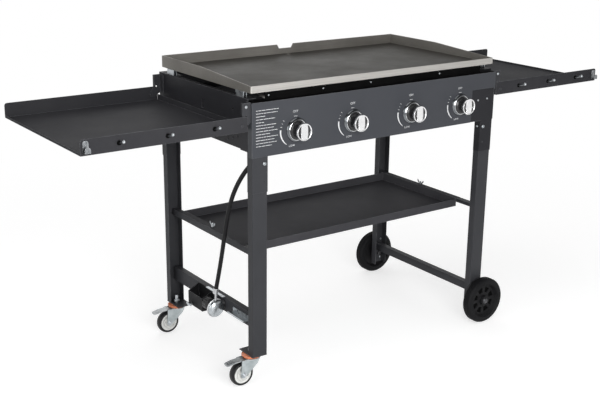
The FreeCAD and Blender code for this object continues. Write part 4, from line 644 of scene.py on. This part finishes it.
# Faces of the riser strip behind the top edge of the panel, under the plate, take the near-black
# finish: a painted shade of the plate's overhang.
form = shape_of("control_panel", 0.0006)
strip_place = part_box("control_panel")[0].y + STRIP_SETBACK
for face in form.faces:
    middle = face.calc_center_median()
    if middle.y > strip_place and middle.z > STRIP_BASE:
        face.material_index = 1
fit_piece("finished_control_panel", form, panel_coat, "frame", ["control_panel"],
          inlay=painted_shade_black)


# Gas train
# A zinc plated manifold pipe behind the panel, brass valves and inlet elbow, and four burner
# tubes of bare steel that run from the valves to the back rail, each with a spark probe.
brass = make_metal("yellow_brass", (0.52, 0.36, 0.14), (0.66, 0.48, 0.22), 40.0,
                   (50.0, 0.26, 0.40), (500.0, 0.5, 0.0001))
burner_steel = make_metal("burner_steel", (0.40, 0.39, 0.37), (0.55, 0.53, 0.50), 18.0,
                          (30.0, 0.34, 0.50), (400.0, 0.5, 0.0002))
dress("gas_manifold", zinc, 0.0004)
dress("gas_valves", brass, 0.0004)
dress("gas_inlet_elbow", brass, 0.0004)
dress("burner_tubes", burner_steel, 0.0003)


# Knobs
# Each knob is a gloss black moulding with a skirt and a ribbed neck, and a chromed cap with a
# wide grip bar between two hollows. It turns inside a polished bezel that is fixed to the panel.
chrome = make_metal("polished_chrome", (0.80, 0.81, 0.83), (0.88, 0.88, 0.89), 30.0,
                    (30.0, 0.07, 0.14), (300.0, 0.5, 0.00003))
satin_chrome = make_metal("satin_chrome", (0.80, 0.80, 0.81), (0.90, 0.90, 0.90), 30.0,
                          (40.0, 0.16, 0.26), (900.0, 0.5, 0.00004))
knob_black = make_finish(
    "knob_black", (0.010, 0.010, 0.011), (0.016, 0.016, 0.017), 30.0,
    (50.0, 0.22, 0.32), (900.0, 0.5, 0.00006))
# Chrome darkened as a painted dark reflection, for the bezels off their lips.
smoked_chrome = make_metal("smoked_chrome", (0.13, 0.14, 0.15), (0.22, 0.23, 0.24), 30.0,
                           (30.0, 0.08, 0.15), (300.0, 0.5, 0.00003))
KNOB_RIBS = 28
CAP_RADIUS = 0.025
CAP_BAR = 0.0094
BAR_SWELL = 0.0018


def extrude_ring(form, ring):
    """Join a copy to a loop of edges. It gives the edges and the vertices of the copy."""
    made = bmesh.ops.extrude_edge_only(form, edges=ring)["geom"]
    ring = [part for part in made if isinstance(part, bmesh.types.BMEdge) and part.is_boundary]
    return ring, {vert for edge in ring for vert in edge.verts}


def grow_rings(form, ring, rings):
    """Carry a loop of edges through circles of (radius, distance) about the Z axis."""
    for radius, distance in rings:
        ring, verts = extrude_ring(form, ring)
        for vert in verts:
            flat = Vector((vert.co.x, vert.co.y, 0.0))
            vert.co = flat.normalized() * radius + Vector((0, 0, distance))


def beside_bar(vert):
    """Whether a vertex lies on the face of a cap, at a side of its grip bar."""
    return abs(abs(vert.co.x) - CAP_BAR) < 0.00001 and abs(vert.co.z) < 0.0001


def make_knob_cap(centre, outward):
    """Disc with a raised rim, and a grip bar left standing between two D-shaped hollows."""
    form = bmesh.new()
    bmesh.ops.create_circle(form, cap_ends=True, segments=72, radius=CAP_RADIUS - 0.0032)
    grow_rings(form, form.edges[:],
               ((CAP_RADIUS - 0.0028, 0.0006), (CAP_RADIUS - 0.0020, 0.0010),
                (CAP_RADIUS - 0.0009, 0.0008), (CAP_RADIUS - 0.0001, -0.0004),
                (CAP_RADIUS, -0.0016), (CAP_RADIUS, -0.0052), (CAP_RADIUS - 0.0018, -0.0068),
                (0.0005, -0.0068)))
    for offset in (-CAP_BAR, CAP_BAR):
        flat = [face for face in form.faces if abs(face.calc_center_median().z) < 0.0001]
        geometry = flat + [edge for face in flat for edge in face.edges]
        bmesh.ops.bisect_plane(form, geom=list(set(geometry + form.verts[:])), dist=0.000001,
                               plane_co=(offset, 0, 0), plane_no=(1, 0, 0))
    sides = [edge for edge in form.edges if all(beside_bar(vert) for vert in edge.verts)]
    reach = max(abs(vert.co.y) for edge in sides for vert in edge.verts)
    bmesh.ops.subdivide_edges(form, edges=sides, cuts=9)
    for vert in filter(beside_bar, form.verts):
        swell = BAR_SWELL * (1.0 - (vert.co.y / reach) ** 2)
        vert.co.x += math.copysign(swell, vert.co.x)
    hollows = [face for face in form.faces
               if abs(face.calc_center_median().z) < 0.0001
               and abs(face.calc_center_median().x) > CAP_BAR]
    for face in hollows:
        sink(form, [face], ((0.0009, -0.0012), (0.0003, -0.0034)))
    bmesh.ops.transform(form, matrix=facing(centre, outward), verts=form.verts)
    return form


def make_knob_body(base, outward):
    """Skirt and neck of the knob, with fine ribs round the neck."""
    form = bmesh.new()
    profile = ((0.0042, 0.0), (0.0262, 0.0), (0.0270, 0.0008), (0.0270, 0.0030), (0.0262, 0.0040),
               (0.0236, 0.0052), (0.0222, 0.0075), (0.0217, 0.0090), (0.0215, 0.0120),
               (0.0215, 0.0235), (0.0210, 0.0252), (0.0200, 0.0260), (0.0, 0.0260))
    lathe(form, profile, (0, 0, 0), (0, 0, 1), KNOB_RIBS * 4)
    close_up(form)
    for vert in form.verts:
        if 0.0085 < vert.co.z < 0.0240:
            angle = math.atan2(vert.co.y, vert.co.x)
            shrink = 1.0 - 0.012 * (0.5 + 0.5 * math.cos(KNOB_RIBS * angle))
            vert.co.x *= shrink
            vert.co.y *= shrink
    bmesh.ops.transform(form, matrix=facing(base, outward), verts=form.verts)
    return form


# Bezel: a ring that swells from the panel to a narrow lip round the skirt of the knob.
BEZEL = ((0.0066, 0.0), (0.0348, 0.0), (0.0350, 0.0006), (0.0347, 0.0014), (0.0336, 0.0034),
         (0.0320, 0.0052), (0.0302, 0.0066), (0.0290, 0.0074), (0.0284, 0.0077),
         (0.0279, 0.0075), (0.0276, 0.0069), (0.0276, 0.0026), (0.0270, 0.0020),
         (0.0066, 0.0020))
BEZEL_LIP = 0.0070
CAP_RIM = 0.0010
PANEL_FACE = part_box("control_panel")[0].y
TOWARD_COOK = (0, -1, 0)
bezels = bmesh.new()
knob_places = []
for number in (1, 2, 3, 4):
    knob = f"knob_{number}"
    low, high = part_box(knob)
    centre = (low + high) / 2
    knob_places.append((centre.x, centre.z))
    body = make_knob_body((centre.x, high.y, centre.z), TOWARD_COOK)
    fit_piece("black_" + knob, body, knob_black, knob, [knob])
    face_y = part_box(f"knob_cap_{number}")[0].y
    cap = make_knob_cap((centre.x, face_y + CAP_RIM, centre.z), TOWARD_COOK)
    # The floors of the two hollows in each cap take the black of the knob: a painted shade of the
    # recesses.
    fit_piece(f"chrome_cap_{number}", cap, satin_chrome, knob,
              [f"knob_cap_{number}"], inlay=knob_black)
    lathe(bezels, BEZEL, (centre.x, PANEL_FACE, centre.z), TOWARD_COOK, 96, closed=True)
    dress(f"valve_stem_{number}", zinc, 0.0003)
# Faces off the lip take the darkened chrome: a painted dark reflection.
for face in bezels.faces:
    if PANEL_FACE - face.calc_center_median().y > BEZEL_LIP:
        face.material_index = 1
fit_piece("chrome_bezels", bezels, smoked_chrome, "frame", ["knob_bezels"],
          inlay=chrome)


# Panel printing
# Pale ink printed on the powder coat: OFF above and LOW below each knob, a tapering arc between
# them with short marks above it, and a block of plain lines at the left end of the panel.
INK_THICKNESS = 0.00012
ARC_RADIUS = 0.0570
ARC_CLOSING = 0.0055
ARC_START = math.radians(175)
ARC_SWEEP = math.radians(55)
MARK_RADIUS = 0.0535
MARK_LENGTHS = (0.0050, 0.0035, 0.0050)
MARK_WIDTH = 0.0011
LINE_REACHES = (0.074, 0.070, 0.030, 0.062, 0.026, 0.066, 0.058, 0.070, 0.046, 0.072, 0.060,
                0.068, 0.052)
LINE_PITCH = 0.0083
LINE_TOP = 0.8225
LINE_LEFT = -0.4480
LINE_HEIGHT = 0.0015
LINE_GAP = 0.0016
panel_ink = make_finish(
    "panel_ink", (0.66, 0.67, 0.68), (0.74, 0.75, 0.76), 300.0,
    (200.0, 0.45, 0.60), (2000.0, 0.5, 0.00002))


def add_bar(form, x, z, width, height, turn=0.0):
    """One flat printed bar on the face of the panel, centred at x and z."""
    add_block(form, (width, INK_THICKNESS, height), (x, PANEL_FACE - INK_THICKNESS / 2, z), turn)


def add_word(form, word, x, z, height):
    """A printed word, centred at x and z."""
    letters = bpy.data.curves.new(word, "FONT")
    letters.body = word
    letters.size = height * 1.38
    letters.space_character = 1.12
    letters.align_x = letters.align_y = "CENTER"
    letters.extrude = INK_THICKNESS / 2
    holder = add_object(word, letters)
    bpy.context.view_layer.update()
    mesh = bpy.data.meshes.new_from_object(holder)
    bpy.data.objects.remove(holder)
    mesh.transform(Matrix.Translation((x, PANEL_FACE - INK_THICKNESS / 2, z))
                   @ Matrix.Rotation(math.pi / 2, 4, "X"))
    form.from_mesh(mesh)


def add_arc(form, x, z):
    """Crescent at the left of a knob: wide at its top, a point at its lower end."""
    known = set(form.verts)
    inner = form.verts.new((ARC_RADIUS - 0.0030, 0, 0))
    outer = form.verts.new((ARC_RADIUS, 0, 0))
    edge = form.edges.new((inner, outer))
    bmesh.ops.spin(form, geom=[inner, outer, edge], cent=(0, 0, 0), axis=(0, 0, 1),
                   dvec=(0, 0, 0), angle=ARC_SWEEP, steps=24, use_duplicate=False)
    band = [vert for vert in form.verts if vert not in known]
    for vert in band:
        angle = math.atan2(vert.co.y, vert.co.x)
        taper = 1.0 - max(0.0, angle) / ARC_SWEEP
        radius = math.hypot(vert.co.x, vert.co.y)
        if radius < ARC_RADIUS - 0.001:
            radius = ARC_RADIUS - 0.0004 - 0.0046 * math.sqrt(max(taper, 0.0))
        radius -= ARC_CLOSING * (1.0 - taper) ** 2
        vert.co.x = radius * math.cos(ARC_START + angle)
        vert.co.y = radius * math.sin(ARC_START + angle)
    faces = list({face for vert in band for face in vert.link_faces})
    bmesh.ops.recalc_face_normals(form, faces=faces)
    lift = Matrix.Translation((x, PANEL_FACE - INK_THICKNESS, z))
    bmesh.ops.transform(form, matrix=lift @ Matrix.Rotation(math.pi / 2, 4, "X"), verts=band)


printing = bmesh.new()
for x, z in knob_places:
    add_word(printing, "OFF", x - 0.0045, z + 0.0525, 0.0066)
    add_word(printing, "LOW", x - 0.0160, z - 0.0440, 0.0060)
    add_bar(printing, x - 0.0040, z + 0.0392, 0.0120, MARK_WIDTH)
    for number, length in enumerate(MARK_LENGTHS):
        angle = math.radians(146 + 10 * number)
        add_bar(printing, x + MARK_RADIUS * math.cos(angle), z + MARK_RADIUS * math.sin(angle),
                length, MARK_WIDTH, -angle)
    add_arc(printing, x, z)
for row, reach in enumerate(LINE_REACHES):
    x = LINE_LEFT
    count = 0
    while x < LINE_LEFT + reach:
        width = 0.0060 + 0.0032 * ((row * 3 + count * 5) % 4)
        width = min(width, LINE_LEFT + reach - x)
        add_bar(printing, x + width / 2, LINE_TOP - row * LINE_PITCH, width, LINE_HEIGHT)
        x += width + LINE_GAP
        count += 1
fit_piece("panel_printing", printing, panel_ink, "frame")


# Side shelves
# Each shelf is one coated sheet with folded walls, hung on pivot bolts in the ears at the corners
# of the fire box. Its front carries three pegs with a ball end, and a bottle opener.
shelf_coat = make_coat(
    "shelf_powder_coat", (0.036, 0.036, 0.040), (0.047, 0.047, 0.051), 2.6,
    (4.0, 0.54, 0.62), (900.0, 0.5, 0.0002), 0.04)
opener_steel = make_metal("opener_steel", (0.16, 0.17, 0.18), (0.30, 0.31, 0.32), 60.0,
                          (60.0, 0.30, 0.44), (500.0, 0.5, 0.0001))
PEG_PLACES = (0.575, 0.714, 0.851)
PEG_HEIGHT = 0.789
BALL_RADIUS = 0.0044
PEG_ROOT_SHADE = ((0.0, 0.0), (0.0064, 0.0), (0.0064, 0.0010), (0.0058, 0.0015), (0.0, 0.0015))


def add_peg(form, root, tip):
    """Turned peg with a ball at its tip."""
    run = Vector(tip) - Vector(root)
    profile = [(0.0, 0.0006), (0.0025, 0.0006), (0.0025, run.length - 0.0060)]
    for step in range(9):
        angle = math.radians(-58) + math.radians(148) * step / 8
        profile.append((BALL_RADIUS * math.cos(angle),
                        run.length + BALL_RADIUS * math.sin(angle)))
    profile[-1] = (0.0, run.length + BALL_RADIUS)
    lathe(form, profile, root, run.normalized(), 32)


for side, body in ((-1, "shelf_left"), (1, "shelf_right")):
    name = body.replace("shelf_", "")
    shelf = "side_shelf_" + name
    dress(shelf, shelf_coat)
    face_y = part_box(shelf)[0].y
    pegs = bmesh.new()
    peg_root_shades = bmesh.new()
    for x in PEG_PLACES:
        add_peg(pegs, (side * x, face_y - 0.001, PEG_HEIGHT),
                (side * x, face_y - 0.027, PEG_HEIGHT + 0.008))
        # A near-black disc round the root of each peg: a painted shade of its hole.
        lathe(peg_root_shades, PEG_ROOT_SHADE, (side * x, face_y, PEG_HEIGHT), TOWARD_COOK, 32)
    fit_piece("tool_pegs_" + name, pegs, zinc, body, ["shelf_hooks_" + name])
    fit_piece("peg_root_shade_" + name, peg_root_shades, painted_shade_black, body)
    dress("bottle_opener_" + name, opener_steel, 0.0005)
dress("shelf_hinge_brackets", black_coat)


# Bolts and screws
# Zinc plated pan heads with a cross recess, seated on the sleeves, the ears, the end of the panel
# and the riser, and the four shoulder bolts on which the shelves turn.
def add_screw(form, place, outward, radius, height):
    """Domed head with a cross-shaped recess."""
    made = bmesh.ops.create_circle(form, cap_ends=True, segments=24, radius=radius * 0.5)["verts"]
    ring = list({edge for vert in made for edge in vert.link_edges})
    known = set(form.verts) - set(made)
    arm = radius * 0.52
    waist = arm * 0.27
    for vert in made:
        angle = math.atan2(vert.co.y, vert.co.x)
        off_arm = abs((angle + math.pi / 4) % (math.pi / 2) - math.pi / 4)
        tip = off_arm < math.radians(16)
        reach = arm / math.cos(off_arm) if tip else waist / math.sin(off_arm)
        vert.co = Vector((reach * math.cos(angle), reach * math.sin(angle), height * 0.35))
    ring, verts = extrude_ring(form, ring)
    for vert in verts:
        vert.co.z = height
    grow_rings(form, ring,
               ((radius * 0.66, height), (radius * 0.86, height * 0.86),
                (radius * 0.97, height * 0.55), (radius, height * 0.25), (radius, 0.0),
                (radius * 0.1, 0.0)))
    new = [vert for vert in form.verts if vert not in known]
    bmesh.ops.transform(form, matrix=facing(place, outward), verts=new)


# Radius and height of the heads: leg bolts, screws, panel rivets and riser rivets.
BOLT_HEAD = (0.0055, 0.0030)
SCREW_HEAD = (0.0042, 0.0022)
PANEL_RIVET = (0.0032, 0.0014)
RISER_RIVET = (0.0025, 0.0010)
BOLT_HEIGHT = 0.672
sleeve_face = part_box("leg_sleeves")[1].y
leg_web = sleeve_face - 0.003
heads = bmesh.new()
for side in (-1, 1):
    for face in (-1, 1):
        add_screw(heads, (side * 0.4195, face * sleeve_face, BOLT_HEIGHT), (0, face, 0),
                  *BOLT_HEAD)
        add_screw(heads, (side * 0.4075, face * (sleeve_face - 0.013), BOLT_HEIGHT),
                  (-side, 0, 0), *SCREW_HEAD)
        add_screw(heads, (side * 0.476, face * 0.2575, 0.836), (0, face, 0), *SCREW_HEAD)
for face in (-1, 1):
    for z in (0.062, 0.134):
        add_screw(heads, (0.450, face * leg_web, z), (0, -face, 0), *SCREW_HEAD)
for x, z in ((0.391, 0.760), (0.430, 0.762)):
    add_screw(heads, (x, PANEL_FACE + 0.0015, z), TOWARD_COOK, *PANEL_RIVET)
for x in (-0.395, -0.209, -0.036, 0.235):
    add_screw(heads, (x, PANEL_FACE + 0.0185, 0.858), TOWARD_COOK, *RISER_RIVET)
fit_piece("bolts_and_screws", heads, zinc, "frame", ["frame_fasteners"])

PIVOT = ((0.0, -0.0020), (0.0036, -0.0020), (0.0050, -0.0012), (0.0055, 0.0), (0.0029, 0.0),
         (0.0029, 0.0033), (0.0050, 0.0033), (0.0050, 0.0063), (0.0, 0.0063))
PIVOT_X = 0.490
PIVOT_Z = 0.786
pivot_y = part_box("side_shelf_right")[1].y + 0.0003
pivots = bmesh.new()
for side in (-1, 1):
    for face in (-1, 1):
        lathe(pivots, PIVOT, (side * PIVOT_X, face * pivot_y, PIVOT_Z), (0, -face, 0), 32)
fit_piece("shelf_pivots", pivots, black_coat, "frame")


# Regulator
# A die-cast body with a rolled seam, a satin dome, a vent tube and a stem for the hose. A ribbed
# plastic hand nut turns on its outlet, and a coated bracket holds it beside the left bar.
die_cast = make_metal("die_cast_alloy", (0.46, 0.47, 0.48), (0.62, 0.63, 0.64), 60.0,
                      (90.0, 0.28, 0.46), (380.0, 0.6, 0.0003))
nut_plastic = make_finish(
    "nut_plastic", (0.011, 0.011, 0.012), (0.018, 0.018, 0.019), 40.0,
    (60.0, 0.38, 0.50), (900.0, 0.5, 0.00015))
dome_chrome = make_metal("satin_dome", (0.40, 0.43, 0.45), (0.54, 0.57, 0.59), 60.0,
                         (70.0, 0.24, 0.36), (380.0, 0.6, 0.0001))
low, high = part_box("gas_regulator")
REGULATOR = Vector((-0.463, low.y, 0.182))
FLANGE_RADIUS = 0.0295
DOME_RADIUS = 0.0265
DOME_DEPTH = 0.012
AWAY = (0, 1, 0)


def make_regulator_body():
    """Dome with a rolled seam, a back half with its outlet, a vent tube and the hose stem."""
    form = bmesh.new()
    back = high.y - low.y
    seam = FLANGE_RADIUS - 0.0010
    profile = ((0.0, 0.0178), (seam, 0.0178), (FLANGE_RADIUS, 0.0168), (FLANGE_RADIUS, 0.0142),
               (seam, 0.0132), (DOME_RADIUS, 0.0130), (0.0, 0.0130))
    lathe(form, profile, REGULATOR, AWAY, 72)
    behind = ((0.0, 0.0170), (0.0240, 0.0170), (0.0238, 0.0195), (0.0205, 0.0240),
              (0.0140, 0.0298), (0.0085, 0.0300), (0.0085, 0.0340), (0.0060, 0.0345),
              (0.0060, back - 0.001), (0.0052, back), (0.0, back))
    lathe(form, behind, REGULATOR, AWAY, 72)
    hose_end = Vector(HOSE_ROUTE[-1])
    down = (hose_end - Vector(HOSE_ROUTE[-2])).normalized()
    run = REGULATOR + Vector((0.0, 0.015, 0.018)) - hose_end
    lathe(form, ((0.0, 0.010), (0.0038, 0.010), (0.0038, run.length), (0.0, run.length)),
          hose_end, run.normalized(), 32)
    ferrule = ((0.0, -0.0004), (0.0072, -0.0004), (0.0079, 0.0006), (0.0079, 0.0050),
               (0.0074, 0.0060), (0.0074, 0.0075), (0.0079, 0.0085), (0.0079, 0.0165),
               (0.0070, 0.0178), (0.0, 0.0178))
    lathe(form, ferrule, hose_end, down, 32)
    lathe(form, ((0.0, 0.0), (0.0059, 0.0), (0.0059, 0.0202), (0.0050, 0.0210), (0.0, 0.0210)),
          REGULATOR + Vector((0.008, 0.015, 0.012)), (1, 0, 0), 32)
    return form


def make_regulator_dome():
    """Drawn dome over the spring of the regulator, with a small vent hole at its middle."""
    form = bmesh.new()
    profile = [(0.0, 0.0011), (0.0014, 0.0010), (0.0020, 0.0002)]
    for step in range(1, 13):
        angle = math.radians(86 - 86 * step / 12)
        profile.append((DOME_RADIUS * math.cos(angle), DOME_DEPTH * (1 - math.sin(angle))))
    profile += [(DOME_RADIUS, 0.0131), (0.0, 0.0131)]
    lathe(form, profile, REGULATOR, AWAY, 96)
    return form


fit_piece("regulator_body", make_regulator_body(), die_cast, "frame",
          ["gas_regulator"])
fit_piece("regulator_dome", make_regulator_dome(), dome_chrome, "frame")
dress("regulator_hand_nut", nut_plastic, 0.0005)
bracket_coat = make_coat(
    "bracket_coat", (0.006, 0.006, 0.007), (0.010, 0.010, 0.011), 12.0,
    (20.0, 0.46, 0.58), (900.0, 0.45, 0.00016), 0.15)
dress("tank_bracket", bracket_coat)
dress("tank_support_plates", zinc, 0.0004)


# Grease cup
# A folded chute takes the fat from the drain of the plate through the back panel, and drops it
# into a thin steel cup that slides on two rails.
dress("grease_chute", black_coat)
dress("grease_cup", burner_steel, 0.0003)


# Cook plate
# One pan of thick carbon steel, ground on its edges and darkened by its first oil; its front edge
# is paler, ground steel with a painted reflection. The floor is darker than the walls. It stands
# on four folded zinc feet and lifts off.
PLATE_LOW, PLATE_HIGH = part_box("griddle_plate")
PLATE_FLOOR = PLATE_HIGH.z - 0.031
FRONT_EDGE = 0.0012
GROUND_STEEL_AND_SHEEN = (0.50, 0.485, 0.46, 1.0)
BURNT_OIL = (0.058, 0.055, 0.049, 1.0)


def make_bare_and_sheen_band():
    """Mask that is one on the ground front edge of the plate, which also takes a painted
    reflection, and zero on the oiled rest.
    """
    group, given, end = start_effect("bare_and_sheen_band", {"Edge": 0.0}, ("Mask",))
    parts = add(group, "ShaderNodeSeparateXYZ", {"Vector": here(group)})
    feed(group, end, {"Mask": calculate(group, "LESS_THAN", parts.outputs["Y"], given["Edge"])})
    return group


def make_oiled_floor():
    """Masks of the oil skin on the floor of the plate and of the bare metal elsewhere."""
    group, given, end = start_effect("oiled_floor", {"Height": 0.0}, ("Mask", "Bare"))
    place = add(group, "ShaderNodeTexCoord")
    parts = add(group, "ShaderNodeSeparateXYZ", {"Vector": place.outputs["Object"]})
    below = calculate(group, "LESS_THAN", parts.outputs["Z"], given["Height"])
    faces = add(group, "ShaderNodeSeparateXYZ", {"Vector": place.outputs["Normal"]})
    level = calculate(group, "GREATER_THAN", faces.outputs["Z"], 0.9)
    mask = calculate(group, "MULTIPLY", below, level)
    feed(group, end, {"Mask": mask, "Bare": carry(group, mask, 0.0, 1.0, 0.5, 0.0)})
    return group


def make_plate_steel():
    """Ground steel with long fine lines, darker and browner where oil has burnt in."""
    finish = make_finish(
        "oiled_plate_steel", (0.190, 0.181, 0.165), (0.260, 0.248, 0.228), 4.0,
        (6.0, 0.40, 0.54), (260.0, 0.6, 0.0002), gleam=0.04)
    tree = finish.node_tree
    shader = tree.nodes["Principled BSDF"]
    along = add(tree, "ShaderNodeMapping", {"Vector": here(tree), "Scale": (6.0, 420.0, 420.0)})
    lines = add_noise(tree, along.outputs["Vector"], 1.0, 3.0, 0.6)
    band = use_effect(tree, make_bare_and_sheen_band(), Edge=PLATE_LOW.y + FRONT_EDGE)
    skin = use_effect(tree, make_oiled_floor(), Height=PLATE_FLOOR + 0.001)
    colour = shader.inputs["Base Color"].links[0].from_socket
    # The front edge takes the pale ground steel, which is also a painted reflection of the lamps
    # in front.
    bare = mix_colours(tree, band["Mask"], colour, GROUND_STEEL_AND_SHEEN)
    streak = mix_colours(tree, 1.0, bare, carry(tree, lines, 0.3, 0.7, 0.82, 1.0), "MULTIPLY")
    feed(tree, shader, {"Base Color": mix_colours(tree, skin["Mask"], streak, BURNT_OIL),
                        "Metallic": skin["Bare"]})
    return finish


plate_steel = make_plate_steel()
dress("griddle_plate", plate_steel, 0.0008)
dress("griddle_feet", zinc, 0.0004)


# Studio
# A pale floor and a white surround with plain soft light. Broad lamps hang in front of the panel,
# at the left and above, and one behind lights the back of the station.
WHITE = (1.0, 1.0, 1.0, 1.0)


def pick_by_ray(tree, lighting, background):
    """One shader for the light, and another for the rays of the camera, mirrors and glass."""
    path = add(tree, "ShaderNodeLightPath")
    chosen = path.outputs["Is Camera Ray"]
    for kind in ("Is Glossy Ray", "Is Transmission Ray"):
        chosen = calculate(tree, "MAXIMUM", chosen, path.outputs[kind])
    choice = add(tree, "ShaderNodeMixShader", {0: chosen, 1: lighting, 2: background})
    return choice.outputs["Shader"]


def make_floor():
    """Pale floor that fades to plain white away from the station and keeps its shadow."""
    finish = bpy.data.materials.new("pale_floor")
    finish.use_nodes = True
    tree = finish.node_tree
    shader = tree.nodes["Principled BSDF"]
    feed(tree, shader, {"Base Color": (0.60, 0.60, 0.60, 1.0), "Roughness": 0.9,
                        "Specular IOR Level": 0.0})
    far = add(tree, "ShaderNodeVectorMath", {0: here(tree)}, operation="LENGTH")
    fade = carry(tree, far.outputs["Value"], 0.9, 2.6, 0.0, 1.0, "SMOOTHSTEP")
    glow = add(tree, "ShaderNodeEmission", {"Color": WHITE, "Strength": 0.60})
    white = add(tree, "ShaderNodeEmission", {"Color": WHITE, "Strength": 1.0})
    lit = add(tree, "ShaderNodeAddShader", {
        0: shader.outputs["BSDF"], 1: glow.outputs["Emission"]})
    seen = add(tree, "ShaderNodeMixShader", {
        0: fade, 1: lit.outputs["Shader"], 2: white.outputs["Emission"]})
    choice = pick_by_ray(tree, shader.outputs["BSDF"], seen.outputs["Shader"])
    feed(tree, tree.nodes["Material Output"], {"Surface": choice})
    return finish


form = bmesh.new()
bmesh.ops.create_grid(form, x_segments=8, y_segments=8, size=20.0)
floor_mesh = bpy.data.meshes.new("studio_floor")
form.to_mesh(floor_mesh)
form.free()
floor_mesh.materials.append(make_floor())
floor = add_object("studio_floor", floor_mesh)

world = bpy.data.worlds.new("studio_surround")
bpy.context.scene.world = world
world.use_nodes = True
tree = world.node_tree
direction = add(tree, "ShaderNodeTexCoord")
height = add(tree, "ShaderNodeSeparateXYZ", {"Vector": direction.outputs["Generated"]})
soft = carry(tree, height.outputs["Z"], 0.0, 0.9, 0.62, 0.30)
mirrored = carry(tree, height.outputs["Z"], 0.15, 0.75, 1.0, 0.15, "SMOOTHSTEP")
eye = add(tree, "ShaderNodeLightPath")
seen = add(tree, "ShaderNodeMix", {
    "Factor": eye.outputs["Is Camera Ray"], "A": mirrored, "B": 1.0}).outputs["Result"]
background = tree.nodes["Background"]
feed(tree, background, {"Color": WHITE, "Strength": soft})
backdrop = add(tree, "ShaderNodeBackground", {"Color": WHITE, "Strength": seen})
choice = pick_by_ray(tree, background.outputs["Background"], backdrop.outputs["Background"])
feed(tree, tree.nodes["World Output"], {"Surface": choice})

STATION_MIDDLE = Vector((0.0, 0.0, 0.7))
# Name, place, width, height and power of each lamp.
LAMPS = (
    ("front_lamp", (-0.75, -2.15, 1.15), 1.4, 1.1, 37.0),
    ("left_lamp", (-3.4, -0.5, 1.3), 2.0, 1.6, 17.0),
    ("top_lamp", (-0.4, -0.2, 3.4), 2.6, 2.6, 18.0),
    ("back_lamp", (1.3, 3.0, 2.6), 3.0, 2.4, 22.0),
)
for name, place, width, height, power in LAMPS:
    light = bpy.data.lights.new(name, "AREA")
    light.shape = "RECTANGLE"
    light.size = width
    light.size_y = height
    light.energy = power
    lamp = add_object(name, light)
    lamp.visible_camera = False
    lamp.location = place
    lamp.rotation_euler = (STATION_MIDDLE - Vector(place)).to_track_quat("-Z", "Y").to_euler()
bpy.context.scene.view_settings.view_transform = "Standard"
